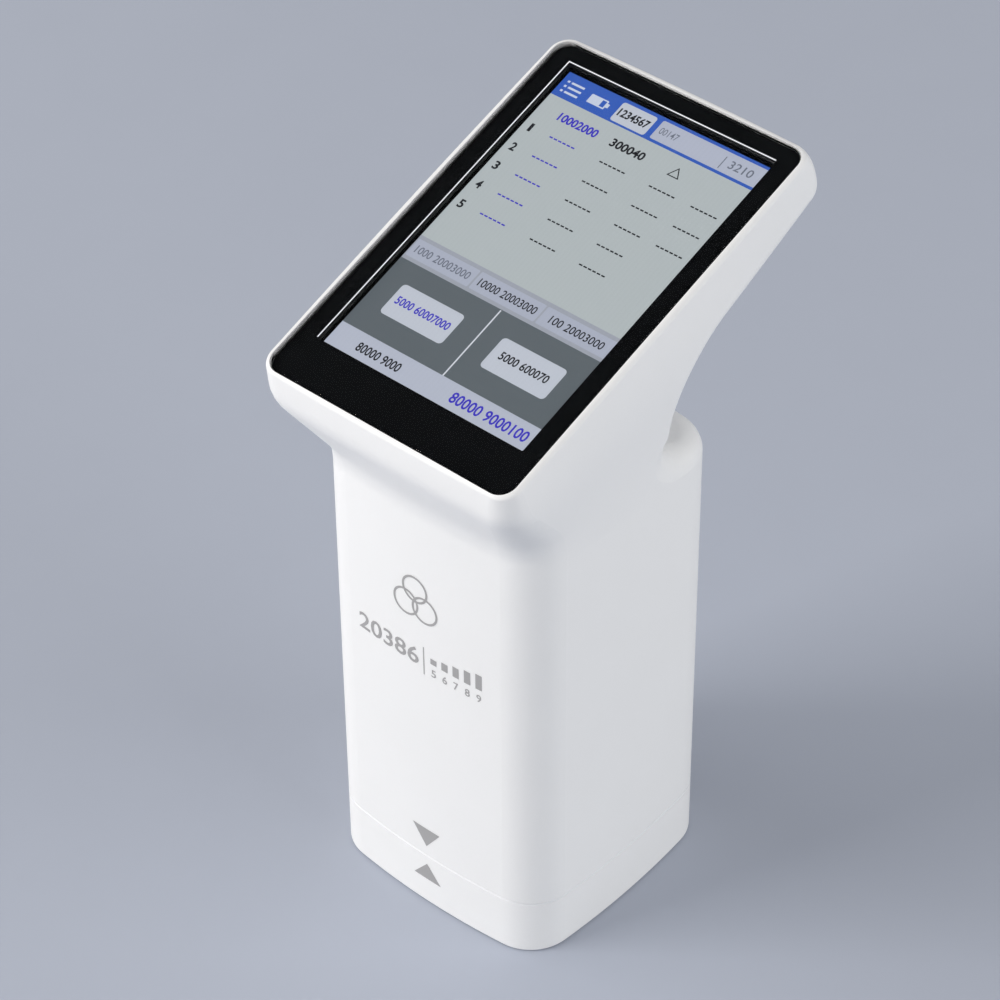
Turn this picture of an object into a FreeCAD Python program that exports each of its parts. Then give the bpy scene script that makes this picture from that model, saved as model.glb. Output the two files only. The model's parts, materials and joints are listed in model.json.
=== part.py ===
"""Benchtop colorimeter with a leaning touch screen and a calibration base.

The column is centred on the vertical axis, its front looks along -Y, and the pad
under its calibration base rests on the plane z = 0. All lengths are millimetres.
"""
import FreeCAD
import Part
import math
import os
from types import SimpleNamespace

import Sketcher
from FreeCAD import Placement, Rotation, Vector

SIZES = {
    # Outside of the column
    "column_half_width": 28.75,
    "column_half_depth": 28.42,
    "side_crown": 0.88,
    "end_crown": 1.08,
    "column_corner": 9.8,
    "base_height": 13.6,
    "seam_chamfer": 0.3,
    # Outside of the head
    "head_start": 102.0,
    "screen_tilt": 18.82,
    "screen_y": 5.02,
    "screen_z": 143.95,
    "rim_side_width": 1.45,
    "rim_end_width": 1.025,
    "head_corner": 5.8,
    "rim_corner": 4.0,
    "rim_crown": 0.3,
    "rim_edge": 1.0,
    # Profiles of the head as drawn: upright lead, cove, slope, brow and rim wall
    "front_lead": 0.6,
    "front_cove": 13.9,
    "front_slope": 11.5,
    "front_brow": 11.2,
    "front_wall": 4.3,
    "front_slope_angle": 30.0,
    "front_wall_angle": 2.0,
    "rear_lead": 0.6,
    "rear_cove": 30.0,
    "rear_slope": 30.0,
    "rear_brow": 14.0,
    "rear_wall": 3.3,
    "rear_slope_angle": 34.0,
    "rear_wall_angle": -36.0,
    "side_lead": 1.0,
    "side_cove": 60.0,
    "side_slope": 14.0,
    "side_brow": 60.0,
    "side_wall": 2.0,
    "side_slope_angle": 6.0,
    "side_wall_angle": -5.5,
    # Scoop under the head, at the rear
    "shoulder_height": 105.3,
    "neck_rear": 10.6,
    "shoulder_cove": 8.0,
    "underside_cove": 22.0,
    "underside_angle": 25.0,
    "underside_tip_inset": 5.33,
    "underside_tip_depth": 11.63,
    "shoulder_edge": 4.5,
    "neck_edge": 4.3,
    "overhang_edge": 3.0,
    # Walls and bosses of the housing
    "housing_wall": 2.2,
    "boss_radius": 4.0,
    "boss_reach": 12.0,
    "screw_x": 21.7,
    "screw_y": 21.4,
    "chassis_boss_radius": 3.2,
    "chassis_boss_height": 11.0,
    "boss_sink": 0.6,
    # Display, from its panel outwards to the glass
    "lcd_length": 81.5,
    "lcd_width": 53.0,
    "lcd_thickness": 2.6,
    "window_end_inset": 2.75,
    "window_side_inset": 1.2,
    "window_shift": 3.05,
    "glass_end_margin": 3.725,
    "glass_side_margin": 2.7,
    "glass_corner": 3.2,
    "glass_thickness": 1.1,
    "glass_set_back": 0.15,
    "glass_edge": 0.2,
    "glass_clearance": 0.25,
    "gasket_thickness": 1.5,
    "gasket_margin": 0.25,
    "frame_wall": 1.0,
    "frame_floor": 1.0,
    "frame_corner": 1.2,
    "display_clearance": 0.3,
    "cable_width": 10.0,
    "cable_thickness": 0.4,
    "cable_bend": 4.0,
    "cable_slot": 3.0,
    "cable_start": -6.0,
    "cable_drop": 103.0,
    # Calibration base
    "base_wall": 2.2,
    "base_floor": 3.0,
    "base_edge": 0.5,
    "pad_width": 44.0,
    "pad_corner": 6.0,
    "pad_thickness": 1.4,
    "pad_proud": 0.2,
    "pad_clearance": 0.2,
    "tile_radius": 15.0,
    "tile_thickness": 4.2,
    "tile_edge": 0.3,
    "cushion_radius": 14.0,
    "cushion_thickness": 1.0,
    "clamp_radius": 18.0,
    "clamp_clearance": 0.3,
    "clamp_lip": 1.8,
    "clamp_lip_thickness": 0.7,
    "magnet_radius": 2.5,
    "magnet_circle": 21.6,
    "base_magnet_height": 3.0,
    "magnet_post_radius": 3.6,
    "magnet_post_top": 8.7,
    "magnet_clearance": 0.05,
    # Bottom cover
    "cover_bottom": 9.4,
    "cover_top": 16.1,
    "cover_clearance": 0.5,
    "cover_wall": 1.6,
    "cover_floor": 2.0,
    "cover_edge": 0.8,
    "instrument_magnet_height": 1.5,
    # Measuring aperture
    "aperture_radius": 4.0,
    "aperture_gap": 0.3,
    "aperture_throat": 6.0,
    "spigot_radius": 9.0,
    "spigot_clearance": 0.2,
    "seat_radius": 11.5,
    "seat_thickness": 0.8,
    "seal_thickness": 0.5,
    # Integrating sphere and lamp
    "sphere_radius": 18.0,
    "sphere_block_radius": 19.5,
    "sphere_floor": 2.5,
    "sphere_roof": 2.3,
    "flange_radius": 24.5,
    "flange_thickness": 1.5,
    "collar_radius": 15.5,
    "collar_height": 9.0,
    "lamp_board_thickness": 1.6,
    "lamp_circle": 10.0,
    "lamp_radius": 2.5,
    "lamp_height": 2.5,
    "lamp_clearance": 0.2,
    "lamp_first_angle": 160.0,
    "lamp_span_angle": 220.0,
    "tube_hole": 5.2,
    "post_circle": 22.3,
    "post_angle": 45.0,
    "post_radius": 2.2,
    # Viewing channel
    "view_angle": 8.0,
    "tube_start": 43.0,
    "tube_radius": 4.5,
    "tube_wall": 1.0,
    "tube_clearance": 0.15,
    "tube_stop": 0.7,
    "lens_seat": 46.0,
    "lens_radius": 3.4,
    "lens_surface": 8.0,
    "lens_thickness": 3.0,
    "tube_flange": 56.0,
    "tube_flange_radius": 8.0,
    "tube_flange_thickness": 2.0,
    "tube_head_radius": 5.5,
    "tube_head_length": 6.0,
    "sensor_board_width": 20.0,
    "sensor_board_depth": 13.0,
    "sensor_width": 4.4,
    "sensor_corner": 0.3,
    "sensor_height": 1.2,
    # Chassis and battery
    "chassis_level": 57.0,
    "chassis_thickness": 2.0,
    "chassis_half_width": 25.3,
    "chassis_half_depth": 24.9,
    "chassis_corner": 6.0,
    "notch_clearance": 0.6,
    "chassis_collar_height": 5.0,
    "carrier_y": -12.1,
    "carrier_thickness": 1.6,
    "carrier_width": 36.0,
    "carrier_height": 41.0,
    "gusset_thickness": 1.6,
    "gusset_length": 9.0,
    "gusset_height": 16.0,
    "battery_width": 34.0,
    "battery_depth": 10.0,
    "battery_height": 48.0,
    "battery_corner": 2.5,
    "battery_pad_width": 30.0,
    "battery_pad_height": 38.0,
    "battery_pad_thickness": 0.7,
    # Main board and what it carries
    "board_y": 19.0,
    "board_thickness": 1.6,
    "board_width": 38.0,
    "board_bottom": 61.0,
    "board_height": 40.0,
    "board_corner": 1.5,
    "board_hole_inset": 3.5,
    "board_boss_radius": 2.6,
    "board_boss_sink": 0.9,
    "chip_height": 1.4,
    "connector_depth": 3.5,
    "display_plug_width": 14.0,
    "display_plug_height": 4.0,
    "display_plug_level": 96.0,
    "battery_plug_width": 7.0,
    "battery_plug_height": 5.0,
    "battery_plug_x": -12.0,
    "battery_plug_level": 88.0,
    "buzzer_radius": 5.0,
    "buzzer_x": 11.5,
    "buzzer_level": 91.0,
    "buzzer_height": 3.5,
    # Socket at the rear
    "socket_level": 70.0,
    "socket_width": 8.94,
    "socket_height": 3.26,
    "socket_length": 7.0,
    "socket_corner": 1.55,
    "socket_wall": 0.35,
    "socket_back": 1.2,
    "tongue_width": 6.7,
    "tongue_height": 0.7,
    "tongue_corner": 0.3,
    "tongue_length": 4.6,
    "socket_clearance": 0.3,
    # Measure button and its switch
    "button_level": 88.0,
    "button_radius": 6.0,
    "button_clearance": 0.3,
    "button_flange": 7.5,
    "button_flange_thickness": 1.2,
    "button_flange_gap": 0.62,
    "button_proud": 1.0,
    "button_edge": 0.5,
    "button_dish_margin": 1.5,
    "button_dish": 0.35,
    "button_travel": 0.8,
    "switch_width": 6.0,
    "switch_height": 2.6,
    "plunger_radius": 1.6,
    "plunger_clearance": 0.08,
    "plunger_length": 1.8,
    # Screws, by thread radius
    "big_screw": 1.2,
    "big_screw_head": 2.1,
    "big_screw_head_height": 1.8,
    "big_screw_length": 11.0,
    "chassis_screw_length": 9.0,
    "small_screw": 0.95,
    "small_screw_head": 1.8,
    "small_screw_head_height": 1.6,
    "sphere_screw_length": 7.0,
    "board_screw_length": 6.0,
    "thread_clearance": 0.05,
    "shank_clearance": 0.2,
    "head_clearance": 0.2,
    # Run-out of every cut past the face that it opens, and reach of a search for edges
    "overrun": 1.0,
    "edge_search": 0.0015,
}

LAMP_COUNT = 6
SIDES = (-1, 1)

# Outlines that the head is lofted through, from the column's top to its rim, and the
# power of the height's share by which their corner reaches the rim's corner
HEAD_OUTLINE_COUNT = 13
RIM_CORNER_POWER = 6
# Where the flat cable turns towards its plug, as a share of its way back
CABLE_BEND_SHARE = 0.45
# Chips on the main board: place across and up, width and height, as shares of the
# board's width and height.
CHIP_SHARES = (
    (-0.22, 0.42, 0.24, 0.22),
    (0.22, 0.40, 0.18, 0.17),
    (-0.2, 0.14, 0.15, 0.12),
    (0.24, 0.16, 0.17, 0.14),
)


class Size(float):
    """A number that also carries the sheet expression that it was worked out from."""

    def __new__(cls, value, formula):
        size = super().__new__(cls, value)
        size.formula = formula
        return size

    def __add__(self, other):
        return Size(float(self) + float(other), f"({self.formula} + {wording(other)})")

    def __radd__(self, other):
        return Size(float(other) + float(self), f"({wording(other)} + {self.formula})")

    def __sub__(self, other):
        return Size(float(self) - float(other), f"({self.formula} - {wording(other)})")

    def __rsub__(self, other):
        return Size(float(other) - float(self), f"({wording(other)} - {self.formula})")

    def __mul__(self, other):
        return Size(float(self) * float(other), f"({self.formula} * {wording(other)})")

    def __rmul__(self, other):
        return Size(float(other) * float(self), f"({wording(other)} * {self.formula})")

    def __truediv__(self, other):
        return Size(float(self) / float(other), f"({self.formula} / {wording(other)})")

    def __neg__(self):
        return Size(-float(self), f"(0 - {self.formula})")


def wording(value):
    """The sheet expression of a size, or the digits of a plain number."""
    return value.formula if isinstance(value, Size) else repr(float(value))


def sine(angle):
    return Size(math.sin(math.radians(angle)), f"sin({wording(angle)})")


def cosine(angle):
    return Size(math.cos(math.radians(angle)), f"cos({wording(angle)})")


def root(value):
    return Size(math.sqrt(value), f"sqrt({wording(value)})")


doc = FreeCAD.newDocument("colorimeter")
pieces = []


def write_sheet():
    """Put the driving sizes into the sheet and hand them out as sizes."""
    sheet = doc.addObject("Spreadsheet::Sheet", "dims")
    for row, (name, value) in enumerate(SIZES.items(), start=1):
        sheet.set(f"A{row}", name)
        sheet.set(f"B{row}", str(value))
        sheet.setAlias(f"B{row}", name)
    doc.recompute()
    return SimpleNamespace(**{name: Size(sheet.get(name), f"dims.{name}") for name in SIZES})


s = write_sheet()


def named(thing, label):
    """Make an object a sub-part of its own: its label names its file."""
    thing.Label = label
    pieces.append(thing)
    return thing


def place(thing, x=0, y=0, z=0):
    for axis, value in zip("xyz", (x, y, z)):
        if isinstance(value, Size):
            thing.setExpression(f"Placement.Base.{axis}", value.formula)
    return thing


def lean(thing, angle):
    """Turn an object about X by an angle of the sheet."""
    thing.Placement = Placement(Vector(), Rotation(Vector(1, 0, 0), float(angle)))
    thing.setExpression("Placement.Rotation.Angle", angle.formula)
    return thing


# Sketches and the features made from them


def new_sketch(body, plane):
    sketch = body.newObject("Sketcher::SketchObject", f"{body.Name}_outline")
    origin = next(item for item in body.Origin.OriginFeatures if item.Role == plane)
    sketch.AttachmentSupport = (origin, [""])
    sketch.MapMode = "FlatFace"
    return sketch


def pin_point(sketch, item, spot, x, y):
    """Hold a point of the sketch at x, y from the origin, each bound to the sheet."""
    for kind, value, axis in (("DistanceX", x, -2), ("DistanceY", y, -1)):
        if float(value) == 0:
            sketch.addConstraint(Sketcher.Constraint("PointOnObject", item, spot, axis))
            continue
        rule = Sketcher.Constraint(kind, -1, 1, item, spot, float(value))
        index = sketch.addConstraint(rule)
        if isinstance(value, Size):
            sketch.setExpression(f"Constraints[{index}]", value.formula)


def pin_radius(sketch, item, radius):
    index = sketch.addConstraint(Sketcher.Constraint("Radius", item, float(radius)))
    sketch.setExpression(f"Constraints[{index}]", radius.formula)


def draw_circles(sketch, radius, centres):
    for x, y in centres:
        circle = Part.Circle(Vector(x, y, 0), Vector(0, 0, 1), float(radius))
        item = sketch.addGeometry(circle, False)
        pin_radius(sketch, item, radius)
        pin_point(sketch, item, 3, x, y)


def draw_outline(sketch, points):
    """A closed outline of straight lines."""
    count = len(points)
    first = None
    for start, end in zip(points, points[1:] + points[:1]):
        line = Part.LineSegment(Vector(*start, 0), Vector(*end, 0))
        item = sketch.addGeometry(line, False)
        first = item if first is None else first
    for step in range(count):
        follower = first + (step + 1) % count
        sketch.addConstraint(Sketcher.Constraint("Coincident", first + step, 2, follower, 1))
    for step, (x, y) in enumerate(points):
        pin_point(sketch, first + step, 1, x, y)


def draw_rounded(sketch, width, length, corner, y=0):
    """A rectangle with rounded corners, centred on X = 0 and on the given Y."""
    across = width / 2 - corner
    along = length / 2 - corner
    centres = ((across, y + along), (-across, y + along), (-across, y - along), (across, y - along))
    arcs = []
    for turn, (cx, cy) in enumerate(centres):
        circle = Part.Circle(Vector(cx, cy, 0), Vector(0, 0, 1), float(corner))
        start = math.pi / 2 * turn
        arc = Part.ArcOfCircle(circle, start, start + math.pi / 2)
        arcs.append(sketch.addGeometry(arc, False))
    for turn in range(4):
        follower = arcs[(turn + 1) % 4]
        ends = sketch.getPoint(arcs[turn], 2), sketch.getPoint(follower, 1)
        line = sketch.addGeometry(Part.LineSegment(*ends), False)
        sketch.addConstraint(Sketcher.Constraint("Tangent", arcs[turn], 2, line, 1))
        sketch.addConstraint(Sketcher.Constraint("Tangent", line, 2, follower, 1))
    for arc, centre in zip(arcs, centres):
        pin_radius(sketch, arc, corner)
        pin_point(sketch, arc, 3, *centre)


def new_body(name):
    return doc.addObject("PartDesign::Body", name)


def pad(body, sketch, length):
    feature = body.newObject("PartDesign::Pad", f"{body.Name}_rise")
    feature.Profile = sketch
    feature.setExpression("Length", length.formula)
    doc.recompute()
    return feature


def pocket(body, sketch, depth=None):
    """Cut upwards from the body's lower face, through it where no depth is given."""
    before = body.Shape.Volume
    feature = body.newObject("PartDesign::Pocket", f"{body.Name}_pocket")
    feature.Profile = sketch
    feature.Reversed = True
    if depth is None:
        feature.Type = "ThroughAll"
    else:
        feature.setExpression("Length", depth.formula)
    doc.recompute()
    assert body.Shape.Volume < before, f"{body.Label}: a pocket cuts nothing"
    return feature


def turned_body(name, profile, plane="XZ_Plane"):
    """A body turned about the plane's vertical axis from a closed profile."""
    body = new_body(name)
    sketch = new_sketch(body, plane)
    draw_outline(sketch, profile)
    feature = body.newObject("PartDesign::Revolution", f"{name}_turn")
    feature.Profile = sketch
    feature.ReferenceAxis = (sketch, ["V_Axis"])
    feature.Angle = 360
    doc.recompute()
    return body


def rounded_body(name, width, length, corner, thickness, y=0):
    """A plate with rounded corners, standing on the body's own XY plane."""
    body = new_body(name)
    sketch = new_sketch(body, "XY_Plane")
    draw_rounded(sketch, width, length, corner, y)
    pad(body, sketch, thickness)
    return body


# Solids bound to the sheet


def block(name, x, y, z, width, depth, height):
    """A box centred on x, from y and z onwards."""
    box = doc.addObject("Part::Box", name)
    box.setExpression("Length", width.formula)
    box.setExpression("Width", depth.formula)
    box.setExpression("Height", height.formula)
    return place(box, x - width / 2, y, z)


def rod(name, radius, height, x=0, y=0, z=0, along_y=False):
    """A cylinder that stands on x, y, z and runs along +Z or +Y."""
    cylinder = doc.addObject("Part::Cylinder", name)
    cylinder.setExpression("Radius", radius.formula)
    cylinder.setExpression("Height", height.formula)
    if along_y:
        cylinder.Placement = Placement(Vector(), Rotation(Vector(1, 0, 0), -90))
    return place(cylinder, x, y, z)


def ball(name, radius, z):
    sphere = doc.addObject("Part::Sphere", name)
    sphere.setExpression("Radius", radius.formula)
    return place(sphere, 0, 0, z)


def joined(name, parts):
    union = doc.addObject("Part::MultiFuse", name)
    union.Shapes = list(parts)
    return union


def less(name, base, tools):
    tools = list(tools)
    cut = doc.addObject("Part::Cut", name)
    cut.Base = base
    cut.Tool = tools[0] if len(tools) == 1 else joined(f"{name}_cuts", tools)
    return cut


def grouped(name, parts):
    """Identical pieces in one node, each a solid of its own."""
    group = doc.addObject("Part::Compound", name)
    group.Links = list(parts)
    return named(group, name)


def screw(name, thread, head, head_height, length, x, y, z, along_y=False):
    """A screw whose head bears on x, y, z and whose thread runs on from there."""
    if along_y:
        top = rod(f"{name}_head", head, head_height, x, y - head_height, z, True)
    else:
        top = rod(f"{name}_head", head, head_height, x, y, z - head_height)
    shank = rod(f"{name}_thread", thread, length, x, y, z, along_y)
    return joined(name, (top, shank))


# Levels and places that several pieces share

tile_bottom = s.base_floor + s.cushion_thickness
tile_top = tile_bottom + s.tile_thickness
pad_top = s.pad_thickness
base_bottom = s.pad_proud
aperture_bottom = tile_top + s.aperture_gap
cover_inside = s.cover_bottom + s.cover_floor
seat_bottom = cover_inside + s.seal_thickness
seat_top = seat_bottom + s.seat_thickness
sphere_centre = seat_top + s.sphere_floor + s.sphere_radius
lamp_seat = sphere_centre + s.sphere_radius + s.sphere_roof
tube_end = s.tube_flange + s.tube_flange_thickness + s.tube_head_length
chassis_top = s.chassis_level + s.chassis_thickness
chassis_boss_x = s.column_half_width - s.housing_wall - s.chassis_boss_radius + s.boss_sink
head_seat = s.cover_bottom + s.big_screw_head_height + s.cover_floor + s.head_clearance
thread_hole = s.big_screw + s.thread_clearance
board_rear = s.board_y + s.board_thickness
board_top = s.board_bottom + s.board_height
board_hole_x = s.board_width / 2 - s.board_hole_inset
board_hole_levels = (s.board_bottom + s.board_hole_inset, board_top - s.board_hole_inset)
small_hole = s.small_screw + s.thread_clearance
wall_inside_y = s.column_half_depth - s.housing_wall
window_length = s.lcd_length - s.window_end_inset * 2
window_width = s.lcd_width - s.window_side_inset * 2
glass_length = s.lcd_length + s.glass_end_margin * 2
glass_width = s.lcd_width + s.glass_side_margin * 2
rim_half_length = glass_length / 2 + s.rim_end_width
rim_half_width = glass_width / 2 + s.rim_side_width
ledge_depth = s.glass_set_back + s.glass_thickness + s.gasket_thickness
frame_depth = ledge_depth + s.lcd_thickness + s.frame_floor
frame_width = s.lcd_width + (s.display_clearance + s.frame_wall) * 2
frame_length = s.lcd_length + (s.display_clearance + s.frame_wall) * 2
corner_places = [(s.screw_x * right, s.screw_y * rear) for right in SIDES for rear in SIDES]
post_reach = s.post_circle * cosine(s.post_angle)
post_places = [(post_reach * right, post_reach * rear) for right in SIDES for rear in SIDES]
magnet_places = (
    (s.magnet_circle, 0),
    (-s.magnet_circle, 0),
    (0, s.magnet_circle),
    (0, -s.magnet_circle),
)


# Outlines of the moulded shells, worked out from the same sizes


def on_screen(along, depth):
    """The point (y, z) that lies along the screen's slope and below its plane."""
    tilt = math.radians(s.screen_tilt)
    y = s.screen_y + along * math.cos(tilt) + depth * math.sin(tilt)
    z = s.screen_z + along * math.sin(tilt) - depth * math.cos(tilt)
    return float(y), float(z)


def bowed_outline(front, rear, half_width, side_crown, end_crown, corner):
    """A closed outline of eight arcs in the plane through front, rear and X.

    The two sides and the two ends are shallow arcs, each bowed outwards by its crown,
    and an arc of the corner's radius is tangent to each pair of them.
    """
    front = Vector(0, *front)
    rear = Vector(0, *rear)
    middle = (front + rear) * 0.5
    half_length = (rear - front).Length / 2
    along = (rear - front).normalize()
    side_chord = half_length - corner
    end_chord = half_width - corner
    side_radius = (side_chord**2 + side_crown**2) / (2 * side_crown)
    end_radius = (end_chord**2 + end_crown**2) / (2 * end_crown)
    side_centre = half_width - side_radius
    end_centre = half_length - end_radius
    # The corner's centre is as far from each large centre as the radii differ
    side_gap = side_radius - corner
    end_gap = end_radius - corner
    span = math.hypot(side_centre, end_centre)
    reach = (side_gap**2 - end_gap**2 + span**2) / (2 * span)
    rise = math.sqrt(side_gap**2 - reach**2)
    unit_x = -side_centre / span
    unit_y = end_centre / span
    crossings = [
        (side_centre + reach * unit_x - side * rise * unit_y, reach * unit_y + side * rise * unit_x)
        for side in SIDES
    ]
    corner_x, corner_y = max(crossings, key=sum)
    side_x = (corner_x - side_centre) / side_gap
    side_y = corner_y / side_gap
    end_x = corner_x / end_gap
    end_y = (corner_y - end_centre) / end_gap
    side_end = (side_centre + side_x * side_radius, side_y * side_radius)
    end_start = (end_x * end_radius, end_centre + end_y * end_radius)
    bisector = math.hypot(side_x + end_x, side_y + end_y)
    bend = (
        corner_x + (side_x + end_x) / bisector * corner,
        corner_y + (side_y + end_y) / bisector * corner,
    )
    quarter = [(half_width, 0), side_end, bend, end_start, (0, half_length)]

    def spot(x, y):
        return middle + Vector(x, 0, 0) + along * y

    def arc(start, through, end):
        return Part.Arc(spot(*start), spot(*through), spot(*end)).toShape()

    right, side_end, bend, end_start, rear_middle = quarter
    edges = []
    for mirror_x, mirror_y in ((1, 1), (-1, 1), (-1, -1), (1, -1)):
        def turned(point):
            return point[0] * mirror_x, point[1] * mirror_y
        if mirror_x == mirror_y:
            edges.append(arc(turned((side_end[0], -side_end[1])), turned(right), turned(side_end)))
            edges.append(arc(turned(side_end), turned(bend), turned(end_start)))
            other = (-end_start[0], end_start[1])
            edges.append(arc(turned(end_start), turned(rear_middle), turned(other)))
        else:
            edges.append(arc(turned(end_start), turned(bend), turned(side_end)))
    return Part.Wire(edges)


def column_outline(level, inset=0):
    """The column's outline at a level, drawn in by a wall."""
    half_depth = s.column_half_depth - inset
    half_width = s.column_half_width - inset
    corner = s.column_corner - inset
    ends = (-half_depth, float(level)), (float(half_depth), float(level))
    return bowed_outline(*ends, half_width, s.side_crown, s.end_crown, corner)


def column_prism(bottom, top, inset=0):
    """The column's outline carried straight up from one level to another."""
    return Part.Face(column_outline(bottom, inset)).extrude(Vector(0, 0, float(top - bottom)))


def between(low, high, share):
    return low + (high - low) * share


def drawn_profile(name):
    """Even steps up a profile of the head, as shares of its full run and of its full rise.

    The profile is an upright lead, a cove that bends outwards, a straight slope, a brow
    that bends back and a straight wall at the rim, each tangent to the next. Angles are
    from the vertical.
    """
    parts = ("lead", "cove", "slope", "brow", "wall")
    lead, cove, slope, brow, wall = (float(getattr(s, f"{name}_{part}")) for part in parts)
    out = math.radians(getattr(s, f"{name}_slope_angle"))
    back = math.radians(getattr(s, f"{name}_wall_angle"))

    def heading(angle):
        return Vector(0, math.sin(angle), math.cos(angle))

    def outward(angle):
        return Vector(0, math.cos(angle), -math.sin(angle))

    start = Vector(0, 0, lead)
    cove_centre = start + outward(0) * cove
    cove_middle = cove_centre - outward(out / 2) * cove
    cove_end = cove_centre - outward(out) * cove
    slope_end = cove_end + heading(out) * slope
    brow_centre = slope_end - outward(out) * brow
    brow_middle = brow_centre + outward((out + back) / 2) * brow
    brow_end = brow_centre + outward(back) * brow
    rim = brow_end + heading(back) * wall
    profile = Part.Wire([
        Part.LineSegment(Vector(), start).toShape(),
        Part.Arc(start, cove_middle, cove_end).toShape(),
        Part.LineSegment(cove_end, slope_end).toShape(),
        Part.Arc(slope_end, brow_middle, brow_end).toShape(),
        Part.LineSegment(brow_end, rim).toShape(),
    ])
    return [(point.y / rim.y, point.z / rim.z) for point in profile.discretize(Number=HEAD_OUTLINE_COUNT)]


def head_outlines():
    """Outlines from the top of the column up to the rim, each through three profiles.

    The drawn profiles of the front, the rear and the side are stretched to run from the
    column's face to the rim. The crowns and the corner change as the front leans out, and
    the corner tightens once more close to the rim.
    """
    front_y, front_z = on_screen(-rim_half_length, 0)
    rear_y, rear_z = on_screen(rim_half_length, 0)
    outlines = []
    profiles = (drawn_profile(name) for name in ("front", "rear", "side"))
    for (front_lean, front_rise), (rear_lean, rear_rise), (widening, _) in zip(*profiles):
        corner = between(s.column_corner, s.head_corner, front_lean)
        outlines.append(bowed_outline(
            (between(-s.column_half_depth, front_y, front_lean),
             between(s.head_start, front_z, front_rise)),
            (between(s.column_half_depth, rear_y, rear_lean),
             between(s.head_start, rear_z, rear_rise)),
            between(s.column_half_width, rim_half_width, widening),
            between(s.side_crown, s.rim_crown, front_lean),
            between(s.end_crown, s.rim_crown, front_lean),
            between(corner, s.rim_corner, front_rise ** RIM_CORNER_POWER),
        ))
    return outlines


def scoop():
    """The hollow under the head: flat shoulder, cove, upright neck, cove, sloping underside."""
    slope = math.radians(s.underside_angle)
    far = rim_half_length * 2
    half = rim_half_width * 2
    tip_y, tip_z = on_screen(rim_half_length - s.underside_tip_inset, s.underside_tip_depth)

    def underside(y):
        return tip_z + (y - tip_y) * math.tan(slope)

    def spot(y, z):
        return Vector(-half, y, z)

    low_y = s.neck_rear + s.shoulder_cove
    low_z = s.shoulder_height + s.shoulder_cove
    high_y = s.neck_rear + s.underside_cove
    high_z = underside(high_y) - s.underside_cove / math.cos(slope)
    turn = math.pi - (math.pi / 2 - slope) / 2
    diagonal = math.sqrt(0.5)
    start = spot(far, s.shoulder_height)
    toe = spot(low_y, s.shoulder_height)
    heel = spot(s.neck_rear, low_z)
    neck = spot(s.neck_rear, high_z)
    tangent = spot(
        high_y - s.underside_cove * math.sin(slope),
        high_z + s.underside_cove * math.cos(slope),
    )
    low_bend = spot(low_y - s.shoulder_cove * diagonal, low_z - s.shoulder_cove * diagonal)
    high_bend = spot(
        high_y + s.underside_cove * math.cos(turn),
        high_z + s.underside_cove * math.sin(turn),
    )
    end = spot(far, underside(far))
    edges = [
        Part.LineSegment(start, toe).toShape(),
        Part.Arc(toe, low_bend, heel).toShape(),
        Part.LineSegment(heel, neck).toShape(),
        Part.Arc(neck, high_bend, tangent).toShape(),
        Part.LineSegment(tangent, end).toShape(),
        Part.LineSegment(end, start).toShape(),
    ]
    return Part.Face(Part.Wire(edges)).extrude(Vector(half * 2, 0, 0))


def edge_points(edge):
    first, last = edge.FirstParameter, edge.LastParameter
    return [edge.valueAt(first + (last - first) * step / 4) for step in range(5)]


def rounded_scoop(solid, hollow):
    """Round the edges that the scoop leaves, less towards the overhang's tip."""
    near = s.edge_search
    changes = (
        (s.shoulder_height + near, s.shoulder_edge),
        (s.shoulder_height + s.shoulder_cove + near, s.neck_edge),
    )
    rim_top = on_screen(rim_half_length, 0)[1]

    def radius(point):
        for level, size in changes:
            if point.z <= level:
                return float(size)
        return float(s.overhang_edge)

    edges = []
    for number, edge in enumerate(solid.Edges, start=1):
        points = edge_points(edge)
        on_hollow = all(hollow.distToShape(Part.Vertex(p))[0] < near for p in points[1:4])
        bounds = edge.BoundBox
        runs_across = max(bounds.YLength, bounds.ZLength) < near
        on_rim = bounds.ZMax > rim_top - near
        if on_hollow and not runs_across and not on_rim:
            edges.append((number, radius(points[4]), radius(points[0])))
    blank = doc.addObject("Part::Feature", "housing_blank")
    blank.Shape = solid
    fillet = doc.addObject("Part::Fillet", "housing_rounded")
    fillet.Base = blank
    fillet.Edges = edges
    doc.recompute()
    return fillet.Shape


def rounded_rim(solid):
    """Round the outer edge of the rim, which lies in the plane of the screen."""
    tilt = math.radians(s.screen_tilt)

    def off_plane(point):
        rise = (point.z - s.screen_z) * math.cos(tilt)
        return abs(rise - (point.y - s.screen_y) * math.sin(tilt))

    rim = [edge for edge in solid.Edges
           if all(off_plane(point) < s.edge_search for point in edge_points(edge))]
    return solid.makeFillet(float(s.rim_edge), rim)


def lowest_edges(solid, level):
    return [edge for edge in solid.Edges
            if abs(edge.BoundBox.ZMin - level) < s.edge_search
            and abs(edge.BoundBox.ZMax - level) < s.edge_search]


def upright_edges(solid):
    return [edge for edge in solid.Edges
            if edge.BoundBox.XLength + edge.BoundBox.YLength < s.edge_search]


def tilted_pocket(width, length, corner, top, bottom):
    """A rounded rectangle carried down through the head, square to the screen."""
    box = Part.makeBox(width, length, bottom - top, Vector(-width / 2, -length / 2, -bottom))
    pocket_shape = box.makeFillet(float(corner), upright_edges(box))
    pocket_shape.rotate(Vector(), Vector(1, 0, 0), float(s.screen_tilt))
    pocket_shape.translate(Vector(0, s.screen_y, s.screen_z))
    return pocket_shape


def upright_cylinder(radius, bottom, top, x, y):
    return Part.makeCylinder(radius, top - bottom, Vector(x, y, bottom))


def rearward_cylinder(radius, start, end, x, z):
    return Part.makeCylinder(radius, end - start, Vector(x, start, z), Vector(0, 1, 0))


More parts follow.
